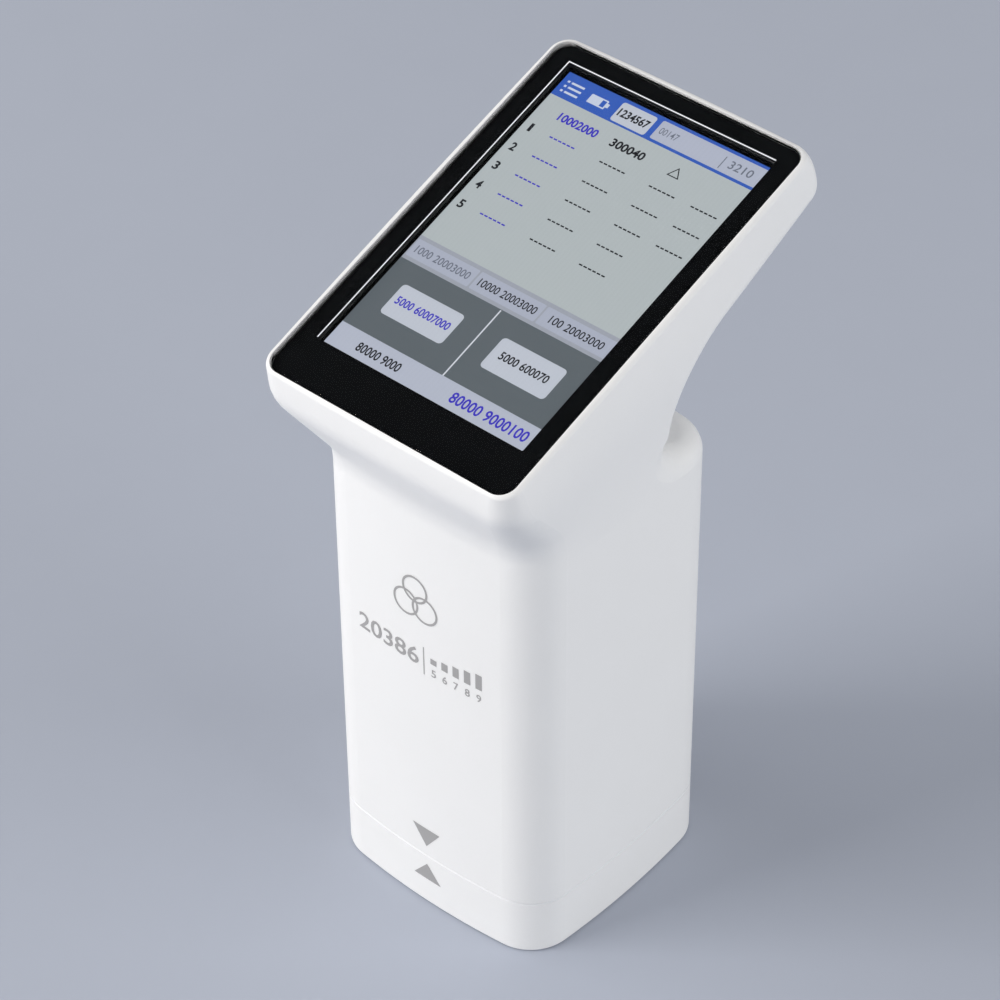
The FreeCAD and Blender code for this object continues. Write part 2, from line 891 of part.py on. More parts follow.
def housing_shape():
    """The moulded shell: column, cove, neck and leaning head, open below and at the glass."""
    column = column_prism(s.base_height, s.head_start)
    head = Part.makeLoft(head_outlines(), True, False, False, 3)
    hollow = scoop()
    solid = rounded_rim(rounded_scoop(column.fuse(head).cut(hollow), hollow))
    solid = solid.makeChamfer(float(s.seam_chamfer), lowest_edges(solid, s.base_height))
    inside = column_prism(
        s.base_height - s.overrun, s.shoulder_height - s.housing_wall, s.housing_wall
    )
    neck_front = -wall_inside_y
    neck_back = s.neck_rear - s.housing_wall
    neck_start = s.shoulder_height - s.housing_wall - s.overrun
    half = s.column_half_width - s.housing_wall - s.side_crown
    passage = Part.makeBox(
        half * 2,
        neck_back - neck_front,
        s.screen_z - neck_start,
        Vector(-half, neck_front, neck_start),
    )
    corner = s.column_corner - s.housing_wall
    passage = passage.makeFillet(float(corner), upright_edges(passage))
    below_display = tilted_pocket(
        rim_half_width * 2, rim_half_length * 2, s.rim_corner, frame_depth - s.overrun / 2,
        s.screen_z,
    )
    display = tilted_pocket(
        frame_width + s.display_clearance * 2,
        frame_length + s.display_clearance * 2,
        s.frame_corner + s.display_clearance,
        ledge_depth - s.overrun / 2,
        frame_depth,
    )
    glass = tilted_pocket(
        glass_width + s.glass_clearance * 2,
        glass_length + s.glass_clearance * 2,
        s.glass_corner + s.glass_clearance,
        -s.overrun,
        ledge_depth,
    )
    solid = solid.cut([inside, passage.common(below_display), display, glass])
    bosses = [
        upright_cylinder(s.boss_radius, s.cover_top, s.cover_top + s.boss_reach, x, y)
        for x, y in corner_places
    ]
    bosses += [
        upright_cylinder(
            s.chassis_boss_radius, chassis_top, chassis_top + s.chassis_boss_height,
            chassis_boss_x * side, 0,
        )
        for side in SIDES
    ]
    bosses += [
        rearward_cylinder(
            s.board_boss_radius, board_rear, wall_inside_y + s.board_boss_sink / 2,
            board_hole_x * side, level,
        )
        for side in SIDES
        for level in board_hole_levels
    ]
    bores = [
        upright_cylinder(thread_hole, s.cover_top - s.overrun, s.cover_top + s.boss_reach, x, y)
        for x, y in corner_places
    ]
    bores += [
        upright_cylinder(
            thread_hole, chassis_top - s.overrun, chassis_top + s.chassis_boss_height,
            chassis_boss_x * side, 0,
        )
        for side in SIDES
    ]
    bores += [
        rearward_cylinder(
            small_hole, board_rear - s.overrun, s.board_y + s.board_screw_length,
            board_hole_x * side, level,
        )
        for side in SIDES
        for level in board_hole_levels
    ]
    outside = s.column_half_depth + s.overrun
    bores.append(rearward_cylinder(
        s.button_radius + s.button_clearance, board_rear, outside, 0, s.button_level
    ))
    slot_height = s.socket_height + s.socket_clearance * 2
    slot_width = s.socket_width + s.socket_clearance * 2
    slot = Part.makeBox(
        slot_width, outside - board_rear, slot_height,
        Vector(-slot_width / 2, board_rear, s.socket_level - slot_height / 2),
    )
    rearward = [edge for edge in slot.Edges
                if edge.BoundBox.XLength + edge.BoundBox.ZLength < s.edge_search]
    bores.append(slot.makeFillet(float(s.socket_corner + s.socket_clearance), rearward))
    outer = column_prism(s.cover_top, s.shoulder_height, s.housing_wall / 2)
    return solid.fuse([boss.common(outer) for boss in bosses]).cut(bores).removeSplitter()


def base_shape():
    """The calibration base: a tray with the column's outline, a recess for its pad below."""
    solid = column_prism(base_bottom, s.base_height)
    solid = solid.makeFillet(float(s.base_edge), lowest_edges(solid, base_bottom))
    top_edges = lowest_edges(solid, s.base_height)
    solid = solid.makeChamfer(float(s.seam_chamfer), top_edges)
    solid = solid.cut(column_prism(s.base_floor, s.base_height + s.overrun, s.base_wall))
    posts = [
        upright_cylinder(s.magnet_post_radius, s.base_floor, s.magnet_post_top, x, y)
        for x, y in magnet_places
    ]
    pockets = [
        upright_cylinder(
            s.magnet_radius + s.magnet_clearance, s.magnet_post_top - s.base_magnet_height,
            s.magnet_post_top + s.overrun, x, y,
        )
        for x, y in magnet_places
    ]
    width = s.pad_width + s.pad_clearance * 2
    recess = Part.makeBox(width, width, pad_top, Vector(-width / 2, -width / 2, 0))
    corner = float(s.pad_corner + s.pad_clearance)
    pockets.append(recess.makeFillet(corner, upright_edges(recess)))
    return solid.fuse(posts).cut(pockets)


def cover_shape():
    """The dish that closes the column and plugs into the base."""
    inset = s.housing_wall + s.cover_clearance
    blank = column_prism(s.cover_bottom, s.cover_top, inset)
    blank = blank.makeChamfer(float(s.cover_edge), lowest_edges(blank, s.cover_bottom))
    inside = column_prism(cover_inside, s.cover_top + s.overrun, inset + s.cover_wall)
    posts = [
        upright_cylinder(s.boss_radius, s.cover_bottom, s.cover_top, x, y).common(blank)
        for x, y in corner_places
    ]
    cuts = [upright_cylinder(
        s.spigot_radius + s.spigot_clearance, s.cover_bottom - s.overrun,
        cover_inside + s.overrun, 0, 0,
    )]
    for x, y in corner_places:
        cuts.append(upright_cylinder(
            s.big_screw + s.shank_clearance, s.cover_bottom, s.cover_top + s.overrun, x, y
        ))
        cuts.append(upright_cylinder(
            s.big_screw_head + s.head_clearance, s.cover_bottom - s.overrun, head_seat, x, y
        ))
    for x, y in magnet_places:
        cuts.append(upright_cylinder(
            s.magnet_radius + s.magnet_clearance, s.cover_bottom - s.overrun,
            s.cover_bottom + s.instrument_magnet_height, x, y,
        ))
    return blank.cut(inside).fuse(posts).cut(cuts)


def cable_shape():
    """The flat cable: down from the display, round two bends, into its plug on the board."""
    start = on_screen(s.cable_start, ledge_depth + s.lcd_thickness)
    level = float(s.display_plug_level)
    end = float(s.board_y - s.connector_depth)
    left = -float(s.cable_width) / 2
    route = [
        Vector(left, *start),
        Vector(left, start[0], float(s.cable_drop)),
        Vector(left, between(start[0], end, CABLE_BEND_SHARE), level),
        Vector(left, end, level),
    ]
    sides = {side: [] for side in SIDES}
    ends = {side: [] for side in SIDES}
    across = Vector(1, 0, 0)
    for side in SIDES:
        shift = float(s.cable_thickness) / 2 * side
        heading = (route[1] - route[0]).normalize()
        here = route[0] + across.cross(heading) * shift
        ends[side].append(here)
        for before, corner, after in zip(route, route[1:], route[2:]):
            heading = (corner - before).normalize()
            onward = (after - corner).normalize()
            turn = heading.getAngle(onward)
            reach = float(s.cable_bend) * math.tan(turn / 2)
            bisector = (onward - heading).normalize()
            centre = corner + bisector * (float(s.cable_bend) / math.cos(turn / 2))
            arc = []
            for foot, along in ((corner - heading * reach, heading), (corner, None),
                                (corner + onward * reach, onward)):
                if along is None:
                    inner = arc[0].distanceToPoint(centre)
                    arc.append(centre - bisector * inner)
                else:
                    arc.append(foot + across.cross(along) * shift)
            sides[side].append(Part.LineSegment(here, arc[0]).toShape())
            sides[side].append(Part.Arc(*arc).toShape())
            here = arc[2]
        last = route[-1] + across.cross(onward) * shift
        sides[side].append(Part.LineSegment(here, last).toShape())
        ends[side].append(last)
    caps = [Part.LineSegment(ends[-1][step], ends[1][step]).toShape() for step in range(2)]
    outline = Part.Wire(Part.__sortEdges__(sides[-1] + [caps[1]] + sides[1] + [caps[0]]))
    return Part.Face(outline).extrude(Vector(float(s.cable_width), 0, 0))


def shell_piece(name, shape):
    feature = doc.addObject("Part::Feature", name)
    feature.Shape = shape
    feature.Placement = Placement()
    return named(feature, name)


# Calibration base


def make_base():
    shell_piece("calibration_base", base_shape())
    named(rounded_body("anti_slip_pad", s.pad_width, s.pad_width, s.pad_corner,
                       s.pad_thickness), "anti_slip_pad")
    cushion = rod("tile_cushion", s.cushion_radius, s.cushion_thickness, z=s.base_floor)
    named(cushion, "tile_cushion")
    edge = s.tile_edge
    tile = turned_body("white_tile", [
        (0, tile_bottom),
        (s.tile_radius, tile_bottom),
        (s.tile_radius, tile_top - edge),
        (s.tile_radius - edge, tile_top),
        (0, tile_top),
    ])
    named(tile, "white_tile")
    bore = s.tile_radius + s.clamp_clearance
    lip_bottom = tile_top + s.clamp_clearance / 2
    lip_top = lip_bottom + s.clamp_lip_thickness
    ring = turned_body("tile_clamp_ring", [
        (bore, s.base_floor),
        (s.clamp_radius, s.base_floor),
        (s.clamp_radius, lip_top - edge),
        (s.clamp_radius - edge, lip_top),
        (bore - s.clamp_lip, lip_top),
        (bore - s.clamp_lip, lip_bottom),
        (bore, lip_bottom),
    ])
    named(ring, "tile_clamp_ring")
    level = s.magnet_post_top - s.base_magnet_height
    grouped("base_magnets", [
        rod(f"base_magnet_{number}", s.magnet_radius, s.base_magnet_height, x, y, level)
        for number, (x, y) in enumerate(magnet_places, start=1)
    ])


# Bottom of the instrument


def make_cover():
    shell_piece("bottom_cover", cover_shape())
    grouped("cover_screws", [
        screw(f"cover_screw_{number}", s.big_screw, s.big_screw_head, s.big_screw_head_height,
              s.big_screw_length, x, y, head_seat)
        for number, (x, y) in enumerate(corner_places, start=1)
    ])
    grouped("instrument_magnets", [
        rod(f"instrument_magnet_{number}", s.magnet_radius, s.instrument_magnet_height, x, y,
            s.cover_bottom)
        for number, (x, y) in enumerate(magnet_places, start=1)
    ])
    ring = turned_body("aperture_ring", [
        (s.aperture_radius, aperture_bottom),
        (s.spigot_radius, aperture_bottom),
        (s.spigot_radius, seat_bottom),
        (s.seat_radius, seat_bottom),
        (s.seat_radius, seat_top),
        (s.aperture_throat, seat_top),
    ])
    named(ring, "aperture_ring")
    gasket = turned_body("aperture_gasket", [
        (s.spigot_radius + s.spigot_clearance, cover_inside),
        (s.seat_radius, cover_inside),
        (s.seat_radius, seat_bottom),
        (s.spigot_radius + s.spigot_clearance, seat_bottom),
    ])
    named(gasket, "aperture_gasket")


# Integrating sphere, lamp and viewing channel


def viewing_rod(name, radius, start, length):
    """A cylinder on the viewing axis, from a distance to the sample onwards."""
    cylinder = rod(name, radius, length)
    lean(cylinder, -s.view_angle)
    return place(cylinder, 0, start * sine(s.view_angle),
                 tile_top + start * cosine(s.view_angle))


def make_sphere():
    """Two turned blocks, flange to flange, with the measuring sphere hollowed out of them."""
    screw_holes = [
        rod(f"flange_hole_{number}", s.small_screw + s.shank_clearance,
            (s.flange_thickness + s.overrun) * 2, x, y,
            sphere_centre - s.flange_thickness - s.overrun)
        for number, (x, y) in enumerate(post_places, start=1)
    ]
    hollow = ball("sphere_hollow", s.sphere_radius, sphere_centre)
    block_height = sphere_centre - seat_top
    lower = rod("lower_block", s.sphere_block_radius, block_height, z=seat_top)
    lower_flange = rod("lower_flange", s.flange_radius, s.flange_thickness,
                       z=sphere_centre - s.flange_thickness)
    throat = rod("sphere_throat", s.aperture_throat, s.sphere_floor * 2 + s.overrun,
                 z=seat_top - s.overrun)
    blank = joined("lower_sphere_blank", (lower, lower_flange))
    named(less("lower_sphere", blank, [hollow, throat, *screw_holes]), "lower_sphere")
    collar_start = lamp_seat - s.collar_height
    upper = rod("upper_block", s.sphere_block_radius, collar_start - sphere_centre,
                z=sphere_centre)
    upper_flange = rod("upper_flange", s.flange_radius, s.flange_thickness, z=sphere_centre)
    collar = rod("lamp_collar", s.collar_radius, s.collar_height, z=collar_start)
    ports = [
        rod(f"lamp_port_{number}", s.lamp_radius + s.lamp_clearance, s.sphere_block_radius,
            x, y, sphere_centre + s.flange_thickness)
        for number, (x, y) in enumerate(lamp_places(), start=1)
    ]
    port = viewing_rod("viewing_port", s.tube_radius + s.tube_clearance,
                       sphere_centre, s.sphere_radius * 2)
    upper_blank = joined("upper_sphere_blank", (upper, upper_flange, collar))
    tools = [hollow, port, *ports, *screw_holes]
    named(less("upper_sphere", upper_blank, tools), "upper_sphere")
    grouped("sphere_screws", [
        screw(f"sphere_screw_{number}", s.small_screw, s.small_screw_head,
              s.small_screw_head_height, s.sphere_screw_length, x, y,
              sphere_centre - s.flange_thickness)
        for number, (x, y) in enumerate(post_places, start=1)
    ])
    post_bottom = sphere_centre + s.flange_thickness
    posts = []
    for number, (x, y) in enumerate(post_places, start=1):
        post = rod(f"post_{number}", s.post_radius, s.chassis_level - post_bottom, x, y,
                   post_bottom)
        bore = rod(f"post_bore_{number}", small_hole, s.sphere_screw_length, x, y,
                   post_bottom - s.overrun)
        posts.append(less(f"drilled_post_{number}", post, [bore]))
    grouped("optics_posts", posts)


def lamp_places():
    """Places of the lamps, on an arc that leaves the viewing channel free."""
    step = s.lamp_span_angle / (LAMP_COUNT - 1)
    angles = [s.lamp_first_angle + step * number for number in range(LAMP_COUNT)]
    return [(s.lamp_circle * cosine(angle), s.lamp_circle * sine(angle)) for angle in angles]


def make_lamp():
    middle = lamp_seat + s.lamp_board_thickness / 2 - tile_top
    offset = middle * sine(s.view_angle) / cosine(s.view_angle)
    board = new_body("led_ring_board")
    sketch = new_sketch(board, "XY_Plane")
    draw_circles(sketch, s.collar_radius, [(0, 0)])
    draw_circles(sketch, s.tube_hole, [(0, offset)])
    pad(board, sketch, s.lamp_board_thickness)
    named(place(board, 0, 0, lamp_seat), "led_ring_board")
    grouped("leds", [
        rod(f"led_{number}", s.lamp_radius, s.lamp_height, x, y, lamp_seat - s.lamp_height)
        for number, (x, y) in enumerate(lamp_places(), start=1)
    ])


def along_view(thing, distance):
    """Set a piece on the viewing axis, square to it."""
    lean(thing, -s.view_angle)
    return place(thing, 0, distance * sine(s.view_angle),
                 tile_top + distance * cosine(s.view_angle))


def make_viewing_channel():
    bore = s.tube_radius - s.tube_wall
    flange_top = s.tube_flange + s.tube_flange_thickness
    tube = turned_body("lens_tube", [
        (bore - s.tube_stop, s.tube_start),
        (s.tube_radius, s.tube_start),
        (s.tube_radius, s.tube_flange),
        (s.tube_flange_radius, s.tube_flange),
        (s.tube_flange_radius, flange_top),
        (s.tube_head_radius, flange_top),
        (s.tube_head_radius, tube_end),
        (bore, tube_end),
        (bore, s.lens_seat),
        (bore - s.tube_stop, s.lens_seat),
    ])
    named(along_view(tube, 0), "lens_tube")
    # The lens stands flat on the tube's stop and bulges upwards
    surface = doc.addObject("Part::Sphere", "lens_face")
    surface.setExpression("Radius", s.lens_surface.formula)
    along_view(surface, s.lens_seat + s.lens_thickness - s.lens_surface)
    barrel = rod("lens_barrel", s.lens_radius, s.lens_thickness)
    along_view(barrel, s.lens_seat)
    lens = doc.addObject("Part::MultiCommon", "collecting_lens")
    lens.Shapes = [surface, barrel]
    named(lens, "collecting_lens")
    board = rounded_body("sensor_board", s.sensor_board_width, s.sensor_board_depth,
                         s.board_corner, s.board_thickness)
    named(along_view(board, tube_end), "sensor_board")
    sensor = rounded_body("colour_sensor", s.sensor_width, s.sensor_width, s.sensor_corner,
                          s.sensor_height)
    named(along_view(sensor, tube_end - s.sensor_height), "colour_sensor")


# Chassis, battery and main board


def make_chassis():
    plate = new_body("chassis_plate")
    sketch = new_sketch(plate, "XY_Plane")
    draw_rounded(sketch, s.chassis_half_width * 2, s.chassis_half_depth * 2, s.chassis_corner)
    pad(plate, sketch, s.chassis_thickness)
    notches = new_sketch(plate, "XY_Plane")
    draw_circles(notches, s.boss_radius + s.notch_clearance, corner_places)
    pocket(plate, notches)
    place(plate, 0, 0, s.chassis_level)
    carrier = block("chassis_carrier", 0, s.carrier_y, chassis_top,
                    s.carrier_width, s.carrier_thickness, s.carrier_height)
    foot = s.carrier_y + s.carrier_thickness
    gussets = []
    for side in SIDES:
        gusset = new_body("chassis_gusset")
        outline = new_sketch(gusset, "YZ_Plane")
        draw_outline(outline, [
            (foot, chassis_top),
            (foot + s.gusset_length, chassis_top),
            (foot, chassis_top + s.gusset_height),
        ])
        pad(gusset, outline, s.gusset_thickness)
        reach = (s.carrier_width - s.gusset_thickness) / 2 * side
        gussets.append(place(gusset, reach - s.gusset_thickness / 2))
    collar_start = s.tube_flange - s.chassis_collar_height
    collar = viewing_rod("chassis_collar", s.tube_flange_radius, collar_start,
                         s.chassis_collar_height)
    bore = viewing_rod("chassis_bore", s.tube_radius + s.tube_clearance,
                       collar_start - s.chassis_collar_height, s.chassis_collar_height * 3)
    holes = [
        rod(f"chassis_hole_{number}", s.big_screw + s.shank_clearance, s.chassis_thickness * 3,
            chassis_boss_x * side, 0, s.chassis_level - s.chassis_thickness)
        for number, side in enumerate(SIDES, start=1)
    ]
    blank = joined("chassis_blank", (plate, carrier, collar, *gussets))
    named(less("chassis", blank, [bore, *holes]), "chassis")
    grouped("chassis_screws", [
        screw(f"chassis_screw_{number}", s.big_screw, s.big_screw_head,
              s.big_screw_head_height, s.chassis_screw_length, chassis_boss_x * side, 0,
              s.chassis_level)
        for number, side in enumerate(SIDES, start=1)
    ])


def make_battery():
    pad_front = s.carrier_y - s.battery_pad_thickness
    battery = rounded_body("battery", s.battery_width, s.battery_depth, s.battery_corner,
                           s.battery_height)
    named(place(battery, 0, pad_front - s.battery_depth / 2, chassis_top), "battery")
    sheet = block("battery_pad", 0, pad_front, chassis_top,
                  s.battery_pad_width, s.battery_pad_thickness, s.battery_pad_height)
    named(sheet, "battery_pad")


def make_main_board():
    blank = block("board_blank", 0, s.board_y, s.board_bottom, s.board_width,
                  s.board_thickness, s.board_height)
    holes = [
        rod(f"board_hole_{number}", s.small_screw + s.shank_clearance, s.board_thickness * 3,
            board_hole_x * side, s.board_y - s.board_thickness, level, True)
        for number, (side, level) in enumerate(
            ((side, level) for side in SIDES for level in board_hole_levels), start=1)
    ]
    named(less("main_board", blank, holes), "main_board")
    chips = []
    for number, (x, up, width, height) in enumerate(CHIP_SHARES, start=1):
        chips.append(block(
            f"chip_{number}", s.board_width * x, s.board_y - s.chip_height,
            s.board_bottom + s.board_height * (up - height / 2), s.board_width * width,
            s.chip_height, s.board_height * height,
        ))
    grouped("board_chips", chips)
    front = s.board_y - s.connector_depth
    grouped("board_connectors", [
        block("display_plug", 0, front, s.display_plug_level - s.display_plug_height / 2,
              s.display_plug_width, s.connector_depth, s.display_plug_height),
        block("battery_plug", s.battery_plug_x, front,
              s.battery_plug_level - s.battery_plug_height / 2,
              s.battery_plug_width, s.connector_depth, s.battery_plug_height),
    ])
    buzzer = rod("buzzer", s.buzzer_radius, s.buzzer_height, s.buzzer_x,
                 s.board_y - s.buzzer_height, s.buzzer_level, True)
    named(buzzer, "buzzer")
    grouped("board_screws", [
        screw(f"board_screw_{side}_{number}", s.small_screw, s.small_screw_head,
              s.small_screw_head_height, s.board_screw_length, board_hole_x * side,
              s.board_y, level, True)
        for side in SIDES
        for number, level in enumerate(board_hole_levels, start=1)
    ])


def rearward_plate(name, width, height, corner, length, start):
    """A bar with a rounded section that runs towards the rear at the socket's level."""
    bar = rounded_body(name, width, height, corner, length)
    bar.Placement = Placement(Vector(), Rotation(Vector(1, 0, 0), -90))
    return place(bar, 0, start, s.socket_level)


def make_socket():
    wall = s.socket_wall * 2
    body = rearward_plate("socket_body", s.socket_width, s.socket_height, s.socket_corner,
                          s.socket_length, board_rear)
    mouth = rearward_plate("socket_mouth", s.socket_width - wall, s.socket_height - wall,
                           s.socket_corner - s.socket_wall, s.socket_length,
                           board_rear + s.socket_back)
    tongue = rearward_plate("socket_tongue", s.tongue_width, s.tongue_height, s.tongue_corner,
                            s.tongue_length + s.socket_back / 2, board_rear + s.socket_back / 2)
    shell = less("socket_shell", body, [mouth])
    named(joined("usb_socket", (shell, tongue)), "usb_socket")


def make_button():
    flange_rear = wall_inside_y - s.button_flange_gap
    flange_front = flange_rear - s.button_flange_thickness
    face = s.column_half_depth + s.button_proud
    edge = s.button_edge
    button = turned_body("measure_button", [
        (0, flange_front),
        (s.button_flange, flange_front),
        (s.button_flange, flange_rear),
        (s.button_radius, flange_rear),
        (s.button_radius, face - edge),
        (s.button_radius - edge, face),
        (s.button_radius - s.button_dish_margin, face),
        (0, face - s.button_dish),
    ], "XY_Plane")
    named(place(button, 0, 0, s.button_level), "measure_button")
    plunger_start = flange_front - s.plunger_length
    plunger = rod("switch_plunger", s.plunger_radius, s.plunger_length, 0, plunger_start,
                  s.button_level, True)
    named(plunger, "switch_plunger")
    body = block("switch_body", 0, board_rear,
                 s.button_level - s.switch_width / 2, s.switch_width, s.switch_height,
                 s.switch_width)
    depth = plunger_start - s.button_travel - s.aperture_gap / 2
    well = rod("switch_well", s.plunger_radius + s.plunger_clearance, s.switch_height, 0, depth,
               s.button_level, True)
    named(less("tact_switch", body, [well]), "tact_switch")


# Display


def on_display(thing, depth):
    """Set a flat piece under the screen plane: its lower face lies at the depth."""
    lean(thing, s.screen_tilt)
    return place(thing, 0, s.screen_y + depth * sine(s.screen_tilt),
                 s.screen_z - depth * cosine(s.screen_tilt))


def make_display():
    glass = rounded_body("cover_glass", glass_width, glass_length, s.glass_corner,
                         s.glass_thickness)
    pad_feature = glass.Tip
    chamfer = glass.newObject("PartDesign::Chamfer", "glass_chamfer")
    highest = [
        f"Edge{number}" for number, edge in enumerate(pad_feature.Shape.Edges, start=1)
        if edge.BoundBox.ZMin > s.glass_thickness / 2
    ]
    chamfer.Base = (pad_feature, highest)
    chamfer.setExpression("Size", s.glass_edge.formula)
    glass_bottom = s.glass_set_back + s.glass_thickness
    named(on_display(glass, glass_bottom), "cover_glass")
    gasket = new_body("screen_gasket")
    sketch = new_sketch(gasket, "XY_Plane")
    outer = s.gasket_margin * 2
    draw_rounded(sketch, glass_width - outer, glass_length - outer,
                 s.glass_corner - s.gasket_margin)
    pad(gasket, sketch, s.gasket_thickness)
    window = new_sketch(gasket, "XY_Plane")
    draw_rounded(window, window_width, window_length, s.frame_corner, s.window_shift)
    pocket(gasket, window)
    named(on_display(gasket, ledge_depth), "screen_gasket")
    panel_bottom = ledge_depth + s.lcd_thickness
    panel = rounded_body("lcd_panel", s.lcd_width, s.lcd_length, s.frame_corner / 2,
                         s.lcd_thickness)
    named(on_display(panel, panel_bottom), "lcd_panel")
    wall_height = s.lcd_thickness - s.display_clearance + s.frame_floor
    tray = rounded_body("frame_tray", frame_width, frame_length, s.frame_corner, wall_height)
    well = rounded_body("frame_well", s.lcd_width + s.display_clearance * 2,
                        s.lcd_length + s.display_clearance * 2, s.frame_corner / 2,
                        s.lcd_thickness)
    place(well, 0, 0, s.frame_floor)
    slot = block("frame_slot", 0, s.cable_start - s.cable_slot / 2,
                 -s.frame_floor, s.cable_width + s.cable_slot, s.cable_slot,
                 s.frame_floor * 3)
    named(on_display(less("lcd_frame", tray, [well, slot]), frame_depth), "lcd_frame")
    shell_piece("display_cable", cable_shape())


make_base()
shell_piece("main_housing", housing_shape())
make_cover()
make_sphere()
make_lamp()
make_viewing_channel()
make_chassis()
make_battery()
make_main_board()
make_socket()
make_button()
make_display()
doc.recompute()

for thing in doc.Objects:
    assert not {"Invalid", "Error"} & set(thing.State), f"{thing.Label}: {thing.State}"
for piece in pieces:
    assert not piece.Shape.isNull(), f"{piece.Label} has no shape"
    assert piece.Shape.isValid(), f"{piece.Label} is not valid"
    assert piece.Shape.Solids, f"{piece.Label} holds no solid"

os.makedirs("parts", exist_ok=True)
for piece in pieces:
    piece.Shape.exportStep(f"parts/{piece.Label}.step")
    solids = piece.Shape.Solids
    print(piece.Label, len(solids), "solid", round(sum(item.Volume for item in solids), 1), "mm3")
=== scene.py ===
"""Looks of the benchtop colorimeter: finishes, printed marks, the lit display, studio and camera.

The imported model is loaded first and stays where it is. Every length is in millimetres, in the
model's own frame, and turns to metres only where a mesh, a pattern or a lamp is made.
"""

import json
import logging
import math
from dataclasses import dataclass, field
from enum import Enum, IntEnum
from typing import Any, Sequence

import bpy
import numpy as np
from mathutils import Matrix, Vector

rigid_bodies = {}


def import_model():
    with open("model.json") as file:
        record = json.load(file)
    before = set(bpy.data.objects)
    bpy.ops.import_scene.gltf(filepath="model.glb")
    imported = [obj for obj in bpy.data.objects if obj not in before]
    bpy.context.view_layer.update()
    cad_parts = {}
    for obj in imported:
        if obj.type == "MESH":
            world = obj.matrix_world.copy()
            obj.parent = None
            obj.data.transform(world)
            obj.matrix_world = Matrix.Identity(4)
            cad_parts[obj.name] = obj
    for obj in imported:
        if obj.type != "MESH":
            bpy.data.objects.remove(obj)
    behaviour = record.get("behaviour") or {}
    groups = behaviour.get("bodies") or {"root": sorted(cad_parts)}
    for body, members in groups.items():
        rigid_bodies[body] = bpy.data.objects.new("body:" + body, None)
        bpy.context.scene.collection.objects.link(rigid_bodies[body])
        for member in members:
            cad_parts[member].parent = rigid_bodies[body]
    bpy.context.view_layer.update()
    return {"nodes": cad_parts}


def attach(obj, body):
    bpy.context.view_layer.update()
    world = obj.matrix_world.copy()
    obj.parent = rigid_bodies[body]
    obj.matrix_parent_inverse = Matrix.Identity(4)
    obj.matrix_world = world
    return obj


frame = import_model()

LOG = logging.getLogger("colorimeter")
MM = 0.001
INSTRUMENT = "instrument"
BASE = "base"

# Brushed marks are drawn 25 times as long as they are wide
PLAIN_STRETCH = (1, 1, 1)
BRUSHED_STRETCH = (1, 0.04, 1)
# Every surface also has soft clouds of its close tone, 22 mm across
CLOUD_SIZE = 22.22
# How deep light comes back from under the skin of a white plastic
SKIN_DEPTH = 0.6

# A wave texture of scale one repeats every 0.314 m
WAVE_LENGTH = 0.314
# The lit display: how far apart its dots are drawn and how far they dim the light between them,
# the strength of its light, and its colour without that light
DOT_PITCH = 0.92
DOT_SHADE = 0.985
GLOW = 0.92
UNLIT = "19191C"

Point = tuple[float, float]


def linear(colour: str) -> tuple[float, float, float, float]:
    """Turns an sRGB hex colour to the linear colour that a shader takes.

    Args:
        colour: Six hex digits, such as "F2F2F4".

    Returns:
        Red, green, blue and an alpha of one.
    """
    parts = [int(colour[place:place + 2], 16) / 255 for place in (0, 2, 4)]
    red, green, blue = (
        part / 12.92 if part <= 0.04045 else ((part + 0.055) / 1.055) ** 2.4 for part in parts
    )
    return red, green, blue, 1.0


def add_node(tree: bpy.types.NodeTree, kind: str, sockets: dict[Any, Any] | None = None,
             **settings: Any) -> bpy.types.Node:
    """Adds a node with its settings, its values and its links.

    Args:
        tree: The node tree that the node goes into.
        kind: The node's type name.
        sockets: For each input, by name or number, a value or the output that feeds it.
        settings: The node's own properties.

    Returns:
        The new node.
    """
    node = tree.nodes.new(kind)
    for name, value in settings.items():
        setattr(node, name, value)
    for name, value in (sockets or {}).items():
        if isinstance(value, bpy.types.NodeSocket):
            tree.links.new(value, node.inputs[name])
        else:
            node.inputs[name].default_value = value
    return node


class Grain(Enum):
    """How a surface was made, which decides the pattern of its grain."""

    MOULDED = "moulded"
    BRUSHED = "brushed"
    GRANULAR = "granular"
    PRINTED = "printed"


